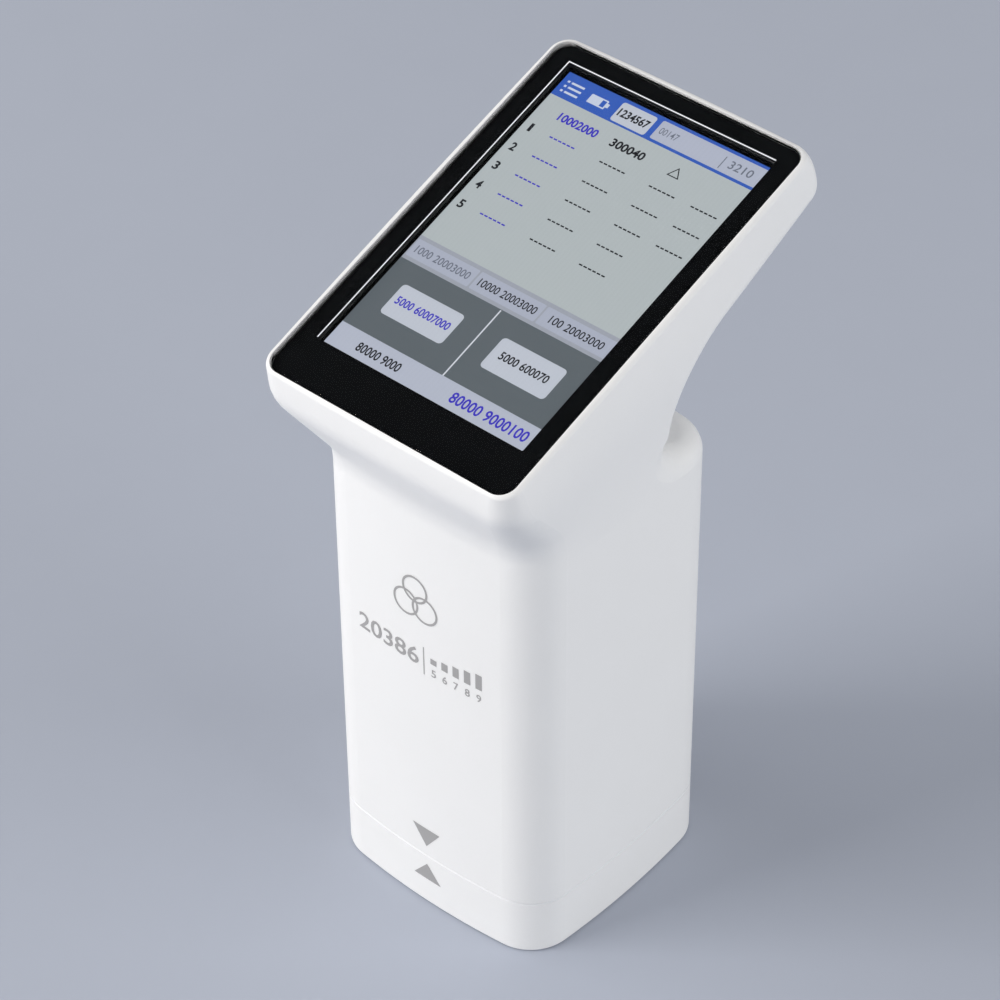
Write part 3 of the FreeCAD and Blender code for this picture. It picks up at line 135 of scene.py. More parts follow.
@dataclass(frozen=True)
class Finish:
    """One finish: what the surface is made of, and the grain that its making left.

    The grain is a noise, or cells on a granular surface, in object space. It moves the colour
    between two close tones, the roughness between two values and the surface a little in and out.

    Attributes:
        name: The material's common name and how its surface was made.
        colour: Its colour as sRGB hex.
        tone: The close tone that the grain moves it to.
        roughness: The lowest and the highest roughness.
        grain: How the surface was made.
        grain_size: How large one grain is drawn.
        relief: How far a grain stands out.
        metallic: One for bare metal.
        ior: Index of refraction.
        specular: Level of the mirror part, where 0.5 is what the index gives.
        coat: Weight of a glaze or a varnish.
        clear: Weight of the light that passes through.
        subsurface: Weight of the light that comes back from under the skin.
        seam: The lowest and highest height of the seam band, and the tone of the shade painted on
            it.
    """

    name: str
    colour: str
    tone: str
    roughness: tuple[float, float]
    grain: Grain = Grain.MOULDED
    grain_size: float = 0.6
    relief: float = 0.004
    metallic: float = 0.0
    ior: float = 1.5
    specular: float = 0.5
    coat: float = 0.0
    clear: float = 0.0
    subsurface: float = 0.0
    seam: tuple[float, float, str] | None = None

    def material(self) -> bpy.types.Material:
        """Builds the material's nodes.

        Returns:
            The material, new or made before under the same name.
        """
        made = bpy.data.materials.get(self.name)
        if made is not None:
            return made
        made = bpy.data.materials.new(self.name)
        made.use_nodes = True
        tree = made.node_tree
        shader = tree.nodes["Principled BSDF"]
        place = add_node(tree, "ShaderNodeTexCoord").outputs["Object"]
        grain = self._grain(tree, place)
        tree.links.new(self._colour(tree, place, grain), shader.inputs["Base Color"])
        low, high = self.roughness
        rough = add_node(tree, "ShaderNodeMapRange",
                         {"Value": grain, "To Min": low, "To Max": high})
        tree.links.new(rough.outputs["Result"], shader.inputs["Roughness"])
        if self.relief:
            bump = add_node(tree, "ShaderNodeBump",
                            {"Height": grain, "Strength": 0.6, "Distance": self.relief * MM})
            tree.links.new(bump.outputs["Normal"], shader.inputs["Normal"])
        values: dict[str, Any] = {
            "Metallic": self.metallic,
            "IOR": self.ior,
            "Specular IOR Level": self.specular,
            "Coat Weight": self.coat,
            "Transmission Weight": self.clear,
        }
        if self.subsurface:
            values |= {
                "Subsurface Weight": self.subsurface,
                "Subsurface Radius": (1.0, 1.0, 1.0),
                "Subsurface Scale": SKIN_DEPTH * MM,
            }
        for socket, value in values.items():
            shader.inputs[socket].default_value = value
        return made

    def _grain(self, tree: bpy.types.NodeTree,
               place: bpy.types.NodeSocket) -> bpy.types.NodeSocket:
        """Draws the grain at its size.

        Args:
            tree: The material's nodes.
            place: Where each point is, in object space.

        Returns:
            The grain's height at each point.
        """
        stretch = BRUSHED_STRETCH if self.grain is Grain.BRUSHED else PLAIN_STRETCH
        scale = [part / (self.grain_size * MM) for part in stretch]
        mapped = add_node(tree, "ShaderNodeMapping",
                          {"Vector": place, "Scale": scale}).outputs["Vector"]
        if self.grain is Grain.GRANULAR:
            return add_node(tree, "ShaderNodeTexVoronoi",
                            {"Vector": mapped, "Scale": 1.0}).outputs["Distance"]
        return add_node(
            tree, "ShaderNodeTexNoise",
            {"Vector": mapped, "Scale": 1.0, "Detail": 3.0, "Roughness": 0.6},
        ).outputs["Fac"]

    def _colour(self, tree: bpy.types.NodeTree, place: bpy.types.NodeSocket,
                grain: bpy.types.NodeSocket) -> bpy.types.NodeSocket:
        """Mixes the two tones by the grain and the clouds, and paints shade on the seam band if
        there is one.

        Args:
            tree: The material's nodes.
            place: Where each point is, in object space.
            grain: The grain's height.

        Returns:
            The colour.
        """
        clouds = add_node(tree, "ShaderNodeTexNoise",
                          {"Vector": place, "Scale": 1 / (CLOUD_SIZE * MM), "Detail": 2.0})
        share = add_node(tree, "ShaderNodeMath", {0: grain, 1: clouds.outputs["Fac"]},
                         operation="MULTIPLY")
        colour = add_node(tree, "ShaderNodeMixRGB", {
            "Fac": share.outputs["Value"],
            "Color1": linear(self.colour),
            "Color2": linear(self.tone),
        }).outputs["Color"]
        if self.seam is None:
            return colour
        # Painted shade: the seam band goes to a darker tone by height, to tone down the bright line
        # its chamfers catch
        low, high, shade = self.seam
        height = add_node(tree, "ShaderNodeSeparateXYZ", {"Vector": place}).outputs["Z"]
        band = add_node(tree, "ShaderNodeMath", {
            0: height, 1: (low + high) / 2 * MM, 2: (high - low) / 2 * MM,
        }, operation="COMPARE")
        return add_node(tree, "ShaderNodeMixRGB", {
            "Fac": band.outputs["Value"], "Color1": colour, "Color2": linear(shade),
        }).outputs["Color"]


# One finish for each material slot of the record. A comment says what the real surface gives the
# eye. Grains under about 0.1 mm are too fine to show and are drawn as coarse as given here.
FINISHES: dict[str, Finish] = {
    # Spark-eroded white ABS: broad soft highlights, and painted shade on the seam band that tones
    # down the bright line of its chamfers
    "shell": Finish("moulded_white_abs", "F5F5F4", "EEEEED", (0.40, 0.50), grain_size=0.35,
                    relief=0.003, subsurface=0.08, seam=(13.28, 13.92, "E6E7E9")),
    # Black ABS out of a rough mould: dull and even
    "cover_plastic": Finish("moulded_black_abs", "26282B", "1C1D20", (0.45, 0.6), grain_size=0.4),
    # Strengthened glass with a coat against reflections: it mirrors little
    "cover_glass": Finish("coated_cover_glass", "FFFFFF", "FCFDFF", (0.0, 0.015), Grain.PRINTED,
                          grain_size=4.0, relief=0.0, ior=1.1, clear=1.0),
    # Glass of the display where it is not lit: near black with a weak mirror
    "display": Finish("display_glass", "101214", "16181B", (0.12, 0.2), grain_size=2.0,
                      relief=0.0, specular=0.3),
    # Glazed ceramic: a hard white body under a thin clear glaze
    "ceramic": Finish("glazed_white_tile", "F4F3EE", "ECEBE5", (0.06, 0.14), grain_size=1.5,
                      relief=0.002, coat=0.6),
    # Pressed wool: loose fibres that swallow the light
    "felt": Finish("wool_felt", "3A3D40", "55585C", (0.9, 1.0), Grain.GRANULAR, grain_size=0.5,
                   relief=0.06),
    # Moulded rubber: dark, dusty and dull
    "rubber": Finish("moulded_rubber", "2B2C2E", "3A3B3D", (0.7, 0.85), Grain.GRANULAR,
                     grain_size=0.8, relief=0.02),
    # Closed foam on a tape: fine pores without any mirror
    "foam_tape": Finish("foam_tape", "2A2B2C", "3C3D3F", (0.9, 1.0), Grain.GRANULAR,
                        grain_size=0.35, relief=0.04),
    # Plated magnet: a warm, almost clean mirror
    "magnet": Finish("nickel_plated_magnet", "C9C6BE", "B4B1AA", (0.18, 0.3), grain_size=0.8,
                     relief=0.001, metallic=1.0),
    # Zinc over turned steel: a grey mirror drawn out along its turning marks
    "steel": Finish("zinc_plated_steel", "B9BCC0", "A3A7AC", (0.25, 0.42), Grain.BRUSHED,
                    grain_size=0.2, relief=0.002, metallic=1.0),
    # Anodised aluminium: black, with a sheen along the turning marks
    "black_metal": Finish("anodised_black_aluminium", "1B1C1E", "2A2B2E", (0.35, 0.5),
                          Grain.BRUSHED, grain_size=0.15, relief=0.002, metallic=0.6),
    # Sintered powder: the whitest and most even surface of all
    "sphere_white": Finish("sintered_white_ptfe", "FBFBF8", "F2F2EE", (0.8, 0.95),
                           Grain.GRANULAR, grain_size=0.3, relief=0.01),
    # Turned brass: a yellow mirror with rings
    "brass": Finish("turned_brass", "C9A65A", "B08E45", (0.2, 0.38), Grain.BRUSHED,
                    grain_size=0.15, relief=0.002, metallic=1.0),
    # Solder mask over glass cloth: green under a thin varnish
    "circuit_board": Finish("solder_mask_green", "1E5B3C", "17482F", (0.25, 0.4),
                            grain_size=0.5, relief=0.006, coat=0.3),
    # Moulded epoxy of a chip: dark grey and finely rough
    "component": Finish("epoxy_package", "202225", "2C2F33", (0.5, 0.7), Grain.GRANULAR,
                        grain_size=0.12, relief=0.003),
    # Moulded nylon: cream and half dull
    "connector": Finish("moulded_cream_nylon", "DAD5C6", "CBC6B6", (0.4, 0.55), grain_size=0.4),
    # Resin with phosphor over a lamp: pale yellow while it is off
    "lamp": Finish("lamp_phosphor_resin", "F1E7A6", "E6D98C", (0.25, 0.4), Grain.GRANULAR,
                   grain_size=0.2, relief=0.004),
    # Polished crown glass: clear, with a full mirror at its edge
    "lens_glass": Finish("polished_optical_glass", "FFFFFF", "FAFCFF", (0.0, 0.01),
                         Grain.PRINTED, grain_size=5.0, relief=0.0, ior=1.52, clear=1.0),
    # Shrunk film over the battery: blue and glossy, with slack waves
    "battery_wrap": Finish("shrink_wrap", "2F6FA8", "285F91", (0.25, 0.4), grain_size=2.5,
                           relief=0.02, coat=0.2),
    # Drawn and plated steel of the socket: a mirror with drawing marks
    "socket_metal": Finish("nickel_plated_steel", "B9BABD", "A5A6A9", (0.2, 0.35),
                           Grain.BRUSHED, grain_size=0.2, relief=0.001, metallic=1.0),
    # Grey ABS of the button: the shell's grain in a cooler tone
    "button_plastic": Finish("moulded_grey_abs", "C9CCD1", "BFC2C8", (0.38, 0.5),
                             grain_size=0.35, relief=0.003),
    # Film of the flat cable: amber and glossy
    "flat_cable": Finish("polyimide_film", "C4782A", "A9611C", (0.25, 0.4), grain_size=1.5,
                         relief=0.004, coat=0.3),
}

# Black ink behind the cover glass: it mirrors nothing, so the border is black at every angle
GLASS_PRINT = Finish("black_glass_print", "0B0D0F", "0D0F11", (0.45, 0.5), Grain.PRINTED,
                     grain_size=3.0, relief=0.0, specular=0.03)
# Pad-printed grey ink on the shell: flat and a little duller than the plastic
GREY_PRINT = Finish("grey_pad_print", "A5A4A4", "ADACAC", (0.4, 0.55), Grain.PRINTED,
                    grain_size=0.3, relief=0.0, specular=0.4)
# Matt paper of the backdrop: its fibres are drawn as clouds of 30 mm
BACKDROP = Finish("matt_backdrop_paper", "B7BDCA", "B4BAC7", (0.85, 0.95), Grain.PRINTED,
                  grain_size=30.0, relief=0.0, specular=0.1)


class Ink(Enum):
    """Colours of the lit display as sRGB hex, a painted highlight at its window, and the grey print
    of the shell.
    """

    HEADER = "355EBA"
    PANEL = "B5BDBF"
    FIELD = "B4BACB"
    STRIP = "A1A6B1"
    STRIP_BUTTON = "AEB4C4"
    DARK = "5F676C"
    BUTTON = "C3C9D4"
    TABS = "B7BDCC"
    BLACK = "16181D"
    VIOLET = "3C32BE"
    GREY = "6E7482"
    WHITE = "CBD4E6"
    RULE = "D9DCE4"
    # Painted highlight: a glowing line in place of the lit edge of the display's bezel
    GLEAM = "F4F6FA"
    PRINT = GREY_PRINT.colour

    def glow(self) -> bpy.types.Material:
        """Makes the light of one display colour: a glow broken by the columns of its dots.

        The dots of a 3.5 inch display are 0.153 mm apart, too fine to show, so the columns are
        drawn 0.92 mm apart and very faint.

        Returns:
            The material, new or made before under the same name.
        """
        name = "display_" + self.name.lower()
        made = bpy.data.materials.get(name)
        if made is not None:
            return made
        made = bpy.data.materials.new(name)
        made.use_nodes = True
        tree = made.node_tree
        shader = tree.nodes["Principled BSDF"]
        place = add_node(tree, "ShaderNodeTexCoord").outputs["Object"]
        columns = add_node(tree, "ShaderNodeTexWave",
                           {"Vector": place, "Scale": WAVE_LENGTH / (DOT_PITCH * MM)},
                           bands_direction="X")
        red, green, blue, alpha = linear(self.value)
        level = add_node(tree, "ShaderNodeMixRGB", {
            "Fac": columns.outputs["Fac"],
            "Color1": (red, green, blue, alpha),
            "Color2": (red * DOT_SHADE, green * DOT_SHADE, blue * DOT_SHADE, alpha),
        })
        tree.links.new(level.outputs["Color"], shader.inputs["Emission Color"])
        for socket, value in {
            "Emission Strength": GLOW,
            "Base Color": linear(UNLIT),
            "Roughness": 0.5,
            "Specular IOR Level": 0.1,
        }.items():
            shader.inputs[socket].default_value = value
        return made


class Layer(IntEnum):
    """How high a flat shape lies over the ground of its picture, in steps."""

    GROUND = 0
    LOW = 1
    MIDDLE = 2
    TOP = 3


@dataclass(frozen=True)
class Slope:
    """The leaning plane of the rim, which every display layer is parallel to.

    Attributes:
        tilt: Its lean in degrees.
        middle: The middle of the rim.
    """

    tilt: float = 18.82
    middle: tuple[float, float, float] = (0.0, 5.02, 143.95)

    def axes(self) -> tuple[np.ndarray, np.ndarray, np.ndarray]:
        """Works out the plane's directions from its lean's cosine and sine.

        Returns:
            The directions across, up the slope and out of it.
        """
        angle = math.radians(self.tilt)
        up = np.array([0.0, math.cos(angle), math.sin(angle)])
        out = np.array([0.0, -math.sin(angle), math.cos(angle)])
        return np.array([1.0, 0.0, 0.0]), up, out

    def points(self, flat: np.ndarray, depth: float) -> np.ndarray:
        """Places flat points on the plane, lowered into the head.

        Args:
            flat: Points across and up the slope.
            depth: How far below the rim they lie.

        Returns:
            The points in the model's frame.
        """
        across, up, out = self.axes()
        return np.array(self.middle) + flat[:, :1] * across + flat[:, 1:2] * up - depth * out

    def depth_of(self, node: str, lowest: bool = False) -> float:
        """Measures how deep a CAD node's face lies below the rim.

        Args:
            node: The node's name.
            lowest: Whether its lower face is meant, and not its upper one.

        Returns:
            The depth.
        """
        mesh = frame["nodes"][node].data
        corners = np.empty(len(mesh.vertices) * 3, dtype=np.float32)
        mesh.vertices.foreach_get("co", corners)
        heights = (corners.reshape(-1, 3) / MM - np.array(self.middle)) @ self.axes()[2]
        return float(-heights.min() if lowest else -heights.max())


def rounded(width: float, length: float, radius: float, middle: Point = (0, 0),
            steps: int = 8) -> np.ndarray:
    """The outline of a rectangle with round corners.

    Each corner's points are its centre plus the radius times the cosine and the sine of an
    angle that turns a quarter from corner to corner.

    Args:
        width: Size across.
        length: Size up the slope.
        radius: Corner radius.
        middle: Centre of the rectangle.
        steps: Steps on each corner.

    Returns:
        The outline, counter-clockwise, as an array of points.
    """
    turn = np.linspace(0, math.pi / 2, steps + 1)
    signs = np.array([(1, 1), (-1, 1), (-1, -1), (1, -1)], dtype=float)
    centres = signs * (np.array([width, length]) / 2 - radius)
    angles = turn[None, :] + np.arange(4)[:, None] * math.pi / 2
    arcs = np.stack([np.cos(angles), np.sin(angles)], axis=-1) * radius
    return (centres[:, None, :] + arcs).reshape(-1, 2) + np.array(middle)


def new_piece(name: str, corners: np.ndarray, faces: Sequence[Sequence[int]],
              materials: Sequence[bpy.types.Material], body: str,
              indices: Sequence[int] | None = None) -> bpy.types.Object:
    """Makes a mesh piece that rides on a body.

    Args:
        name: The piece's name.
        corners: Its corners.
        faces: Its faces as corner numbers.
        materials: Its materials.
        body: The CAD body that it rides on.
        indices: Which material each face has.

    Returns:
        The new object.
    """
    mesh = bpy.data.meshes.new(name)
    mesh.from_pydata((corners * MM).tolist(), [], [list(face) for face in faces])
    for material in materials:
        mesh.materials.append(material)
    if indices is not None:
        mesh.polygons.foreach_set("material_index", list(indices))
    mesh.update()
    piece = bpy.data.objects.new(name, mesh)
    bpy.context.scene.collection.objects.link(piece)
    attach(piece, body)
    LOG.info("%s: %d faces on %s", name, len(mesh.polygons), body)
    return piece


class FlatArt:
    """Flat shapes of several inks, gathered into one mesh."""

    def __init__(self) -> None:
        """Starts with no shapes."""
        self.shapes: list[np.ndarray] = []
        self.faces: list[list[int]] = []
        self.inks: list[Ink] = []
        self.count = 0

    def add(self, flat: np.ndarray, faces: Sequence[Sequence[int]], ink: Ink, layer: int) -> None:
        """Adds a shape.

        Args:
            flat: Its corners across and up.
            faces: Its faces as corner numbers.
            ink: Its colour.
            layer: How many layers it lies above the ground.
        """
        heights = np.full((len(flat), 1), float(layer))
        self.shapes.append(np.hstack([flat, heights]))
        self.faces.extend([[number + self.count for number in face] for face in faces])
        self.inks.extend([ink] * len(faces))
        self.count += len(flat)

    def corners(self) -> np.ndarray:
        """All corners: how far across, how far up, and their layer."""
        return np.vstack(self.shapes)

    def palette(self) -> list[Ink]:
        """The inks in the order of their first use."""
        return list(dict.fromkeys(self.inks))

    def ring(self, middle: Point, radius: float, width: float, ink: Ink, layer: int,
             steps: int = 32) -> None:
        """Adds a ring: two circles, each the cosine and sine of a full turn times its radius.

        Args:
            middle: Its centre.
            radius: Its mean radius.
            width: The width of its line.
            ink: Its colour.
            layer: Its layer.
            steps: Its straight sides.
        """
        turn = np.arange(steps) * math.tau / steps
        rim = np.stack([np.cos(turn), np.sin(turn)], axis=-1)
        circles = np.vstack([rim * (radius + width / 2), rim * (radius - width / 2)])
        start = np.arange(steps)
        stop = (start + 1) % steps
        faces = np.stack([start, stop, stop + steps, start + steps], axis=-1)
        self.add(circles + np.array(middle), faces.tolist(), ink, layer)

    def arrow(self, base: float, tip: float, half: float, ink: Ink, layer: int,
              strips: int = 12) -> None:
        """Adds a triangle in upright strips, so that it can bend with the face below it.

        Its sloping sides are the base's height plus the rise to the tip times one less the
        distance across as a share of the half width.

        Args:
            base: The height of its base.
            tip: The height of its tip.
            half: Half its width.
            ink: Its colour.
            layer: Its layer.
            strips: How many strips it has.
        """
        across = np.linspace(-half, half, strips + 1)
        inner = across[1:-1]
        low = np.stack([across, np.full_like(across, base)], axis=-1)
        high = np.stack([inner, base + (tip - base) * (1 - np.abs(inner) / half)], axis=-1)
        top = len(across)
        faces = [(k, k + 1, top + k, top + k - 1) for k in range(1, strips - 1)]
        faces += [(0, 1, top), (strips - 1, strips, top + strips - 2)]
        if tip < base:
            faces = [face[::-1] for face in faces]
        self.add(np.vstack([low, high]), faces, ink, layer)

    def stroke(self, points: Sequence[Point], width: float, ink: Ink, layer: int) -> None:
        """Adds straight strokes from point to point.

        Each is a rectangle whose sides lie half the width beside the line and beyond its ends.

        Args:
            points: The points in order.
            width: The width of the line.
            ink: Its colour.
            layer: Its layer.
        """
        ends = np.array(points, dtype=float)
        along = np.diff(ends, axis=0)
        along /= np.linalg.norm(along, axis=1)[:, None]
        side = np.stack([-along[:, 1], along[:, 0]], axis=-1) * width / 2
        reach = along * width / 2
        start, stop = ends[:-1] - reach, ends[1:] + reach
        quads = np.stack([start - side, stop - side, stop + side, start + side], axis=1)
        faces = (np.arange(len(along))[:, None] * 4 + np.arange(4)).tolist()
        self.add(quads.reshape(-1, 2), faces, ink, layer)


@dataclass(frozen=True)
class Area:
    """A rectangle of one ink, its corners round where a radius is given."""

    left: float
    right: float
    low: float
    high: float
    ink: Ink
    layer: Layer
    radius: float = 0.0

    def draw(self, art: FlatArt) -> None:
        """Adds the rectangle to a picture.

        Args:
            art: The picture.
        """
        if self.radius:
            middle = (self.left + self.right) / 2, (self.low + self.high) / 2
            outline = rounded(self.right - self.left, self.high - self.low, self.radius, middle,
                              steps=5)
        else:
            outline = np.array([(self.left, self.low), (self.right, self.low),
                                (self.right, self.high), (self.left, self.high)])
        art.add(outline, [range(len(outline))], self.ink, self.layer)


@dataclass(frozen=True)
class Number:
    """A plain number, centred and stretched to a size.

    Attributes:
        digits: Its digits.
        middle: Its centre.
        size: Its width and the height of a digit.
        ink: Its colour.
        layer: Its layer.
        weight: How far the strokes are thickened, as a share of the type size.
    """

    digits: str
    middle: Point
    size: Point
    ink: Ink
    layer: Layer
    weight: float = 0.03

    def draw(self, art: FlatArt) -> None:
        """Turns the type to a mesh, then stretches it to its size and adds it to a picture.

        Args:
            art: The picture.
        """
        curve = bpy.data.curves.new("digits", "FONT")
        curve.body = self.digits
        curve.resolution_u = 3
        curve.offset = self.weight
        holder = bpy.data.objects.new("digits", curve)
        bpy.context.scene.collection.objects.link(holder)
        bpy.context.view_layer.update()
        mesh = bpy.data.meshes.new_from_object(
            holder.evaluated_get(bpy.context.evaluated_depsgraph_get()))
        flat = np.empty(len(mesh.vertices) * 3, dtype=np.float32)
        mesh.vertices.foreach_get("co", flat)
        flat = flat.reshape(-1, 3)[:, :2].astype(float)
        low, high = flat.min(axis=0), flat.max(axis=0)
        flat = (flat - (low + high) / 2) * np.array(self.size) / (high - low)
        faces = [list(face.vertices) for face in mesh.polygons]
        art.add(flat + np.array(self.middle), faces, self.ink, self.layer)
        bpy.data.objects.remove(holder)
        bpy.data.curves.remove(curve)
        bpy.data.meshes.remove(mesh)


@dataclass(frozen=True)
class KeyRow:
    """A row of keys of one height, each with a number in its middle.

    Attributes:
        low: Their lower edge.
        high: Their upper edge.
        radius: Their corner radius.
        face: Their colour.
        level: The height of their numbers' middle.
        text_height: The height of a digit.
        weight: How far the strokes of their numbers are thickened.
        keys: For each key its left and right edge, its digits, their width and their colour.
    """

    low: float
    high: float
    radius: float
    face: Ink
    level: float
    text_height: float
    weight: float
    keys: tuple[tuple[float, float, str, float, Ink], ...]

    def draw(self, art: FlatArt) -> None:
        """Adds the keys and their numbers to a picture.

        Args:
            art: The picture.
        """
        for left, right, digits, width, ink in self.keys:
            Area(left, right, self.low, self.high, self.face, Layer.MIDDLE, self.radius).draw(art)
            Number(digits, ((left + right) / 2, self.level), (width, self.text_height), ink,
                   Layer.TOP, self.weight).draw(art)


# Half the width and half the height of the lit picture, from whose middle its places are given
HALF = 24.48
TALL = 36.72


@dataclass(frozen=True)
class Header:
    """The blue band of the picture: a list icon, a battery icon, a key and a wide field.

    Attributes:
        low: Its lower edge.
        list_rows: The heights of the list icon's rows.
        list_half: Half the thickness of a row.
        list_spans: The left and right ends of a row's bar and of its dot.
        battery: The battery's body, its empty part and its pole.
        key: The key and its number.
        wide_field: The field, square at its right end, with two numbers and a divider.
    """

    low: float = 30.75
    list_rows: tuple[float, ...] = (34.7, 33.5, 32.3)
    list_half: float = 0.24
    list_spans: tuple[Point, ...] = ((-22.35, -19.2), (-23.35, -22.8))
    battery: tuple[Area, ...] = (
        Area(-17.1, -12.95, 32.45, 34.6, Ink.WHITE, Layer.MIDDLE, 0.2),
        Area(-14.25, -13.25, 32.75, 34.3, Ink.HEADER, Layer.TOP),
        Area(-12.95, -12.35, 33.05, 34.0, Ink.WHITE, Layer.MIDDLE),
    )
    key: tuple[Area | Number, ...] = (
        Area(-10.4, -2.1, 31.2, 35.95, Ink.BUTTON, Layer.MIDDLE, 0.6),
        Number("1234567", (-6.25, 33.6), (7.2, 1.95), Ink.BLACK, Layer.TOP),
    )
    wide_field: tuple[Area | Number, ...] = (
        Area(-0.85, HALF, 31.4, 36.05, Ink.FIELD, Layer.MIDDLE, 0.4),
        Area(HALF - 0.6, HALF, 31.4, 36.05, Ink.FIELD, Layer.MIDDLE),
        Number("00147", (2.1, 33.8), (4.3, 1.6), Ink.GREY, Layer.TOP, weight=0.004),
        Area(15.0, 15.2, 31.9, 34.9, Ink.GREY, Layer.TOP),
        Number("3210", (19.3, 33.7), (5.4, 1.9), Ink.GREY, Layer.TOP, weight=0.01),
    )

    def draw(self, art: FlatArt) -> None:
        """Adds the band to a picture.

        Args:
            art: The picture.
        """
        Area(-HALF, HALF, self.low, TALL, Ink.HEADER, Layer.LOW).draw(art)
        for level in self.list_rows:
            for left, right in self.list_spans:
                Area(left, right, level - self.list_half, level + self.list_half, Ink.WHITE,
                     Layer.MIDDLE).draw(art)
        for shape in (*self.battery, *self.key, *self.wide_field):
            shape.draw(art)


@dataclass(frozen=True)
class Readings:
    """Headings, row numbers and the dashes of readings that are not taken yet.

    Attributes:
        headings: The numbers over the first two columns.
        triangle: The corners of the sign over the third column, and its line.
        rows: The rows' heights.
        row_number: How far across a row's number stands, and the size of a digit.
        one_width: The width of a one, which is narrower.
        columns: The left ends of the columns.
        short_rows: How many rows the last column has.
        dash: The length, the gap and the thickness of a dash.
        dashes: How many dashes a reading has.
    """

    headings: tuple[Number, ...] = (
        Number("10002000", (-14.7, 27.1), (9.4, 2.0), Ink.VIOLET, Layer.LOW),
        Number("300040", (-2.6, 27.1), (8.0, 2.0), Ink.BLACK, Layer.LOW),
    )
    triangle: tuple[Point, ...] = ((7.7, 26.1), (10.1, 26.1), (8.9, 28.2), (7.7, 26.1))
    triangle_line: float = 0.22
    rows: tuple[float, ...] = (22.25, 16.95, 11.8, 6.6, 1.3)
    row_number: tuple[float, float, float] = (-22.5, 1.25, 2.0)
    one_width: float = 0.7
    columns: tuple[float, ...] = (-17.85, -5.6, 6.3, 16.2)
    short_rows: int = 3
    dash: tuple[float, float, float] = (0.78, 0.28, 0.32)
    dashes: int = 6

    def draw(self, art: FlatArt) -> None:
        """Adds the readings to a picture.

        Args:
            art: The picture.
        """
        for heading in self.headings:
            heading.draw(art)
        art.stroke(self.triangle, self.triangle_line, Ink.BLACK, Layer.LOW)
        across, width, height = self.row_number
        for place, level in enumerate(self.rows, start=1):
            size = (self.one_width if place == 1 else width, height)
            Number(str(place), (across, level), size, Ink.BLACK, Layer.LOW).draw(art)
        length, gap, thick = self.dash
        last = len(self.columns) - 1
        for place, left in enumerate(self.columns):
            ink = Ink.VIOLET if place == 0 else Ink.BLACK
            for level in self.rows[:self.short_rows] if place == last else self.rows:
                for mark in range(self.dashes):
                    start = left + mark * (length + gap)
                    Area(start, start + length, level - thick / 2, level + thick / 2, ink,
                         Layer.LOW).draw(art)


@dataclass(frozen=True)
class Keys:
    """The lower part of the picture: a strip of three keys, two large keys and two tabs.

    Attributes:
        strip: The strip's lower and upper edge.
        strip_keys: Its keys.
        tabs_top: Where the dark field of the large keys ends and the tabs start.
        divider: The left edge, the right edge and the top of the line between the large keys.
        large_keys: The large keys.
        tab_numbers: The numbers on the tabs.
    """

    strip: tuple[float, float] = (-14.2, -8.3)
    strip_keys: KeyRow = KeyRow(
        low=-13.4, high=-9.2, radius=0.3, face=Ink.STRIP_BUTTON, level=-11.3, text_height=1.8,
        weight=0.01, keys=(
            (-24.2, -8.9, "1000 20003000", 13.2, Ink.GREY),
            (-8.5, 7.2, "10000 20003000", 13.8, Ink.BLACK),
            (7.6, 24.2, "100 20003000", 12.6, Ink.BLACK),
        ))
    tabs_top: float = -31.3
    divider: tuple[float, float, float] = (0.15, 0.45, -14.4)
    large_keys: KeyRow = KeyRow(
        low=-26.2, high=-18.75, radius=0.9, face=Ink.BUTTON, level=-22.3, text_height=1.9,
        weight=0.02, keys=(
            (-19.8, -4.6, "5000 60007000", 13.0, Ink.VIOLET),
            (4.7, 20.0, "5000 600070", 11.4, Ink.BLACK),
        ))
    tab_numbers: tuple[Number, ...] = (
        Number("80000 9000", (-12.95, -34.25), (10.5, 2.1), Ink.BLACK, Layer.MIDDLE, weight=0.02),
        Number("80000 9000100", (13.75, -34.1), (18.2, 2.5), Ink.VIOLET, Layer.MIDDLE, weight=0.02),
    )

    def draw(self, art: FlatArt) -> None:
        """Adds the keys and tabs to a picture.

        Args:
            art: The picture.
        """
        low, top = self.strip
        left, right, divider_top = self.divider
        for shape in (
            Area(-HALF, HALF, low, top, Ink.STRIP, Layer.LOW),
            self.strip_keys,
            Area(-HALF, HALF, self.tabs_top, low, Ink.DARK, Layer.LOW),
            Area(left, right, self.tabs_top, divider_top, Ink.RULE, Layer.MIDDLE),
            self.large_keys,
            Area(-HALF, HALF, -TALL, self.tabs_top, Ink.TABS, Layer.LOW),
            *self.tab_numbers,
        ):
            shape.draw(art)


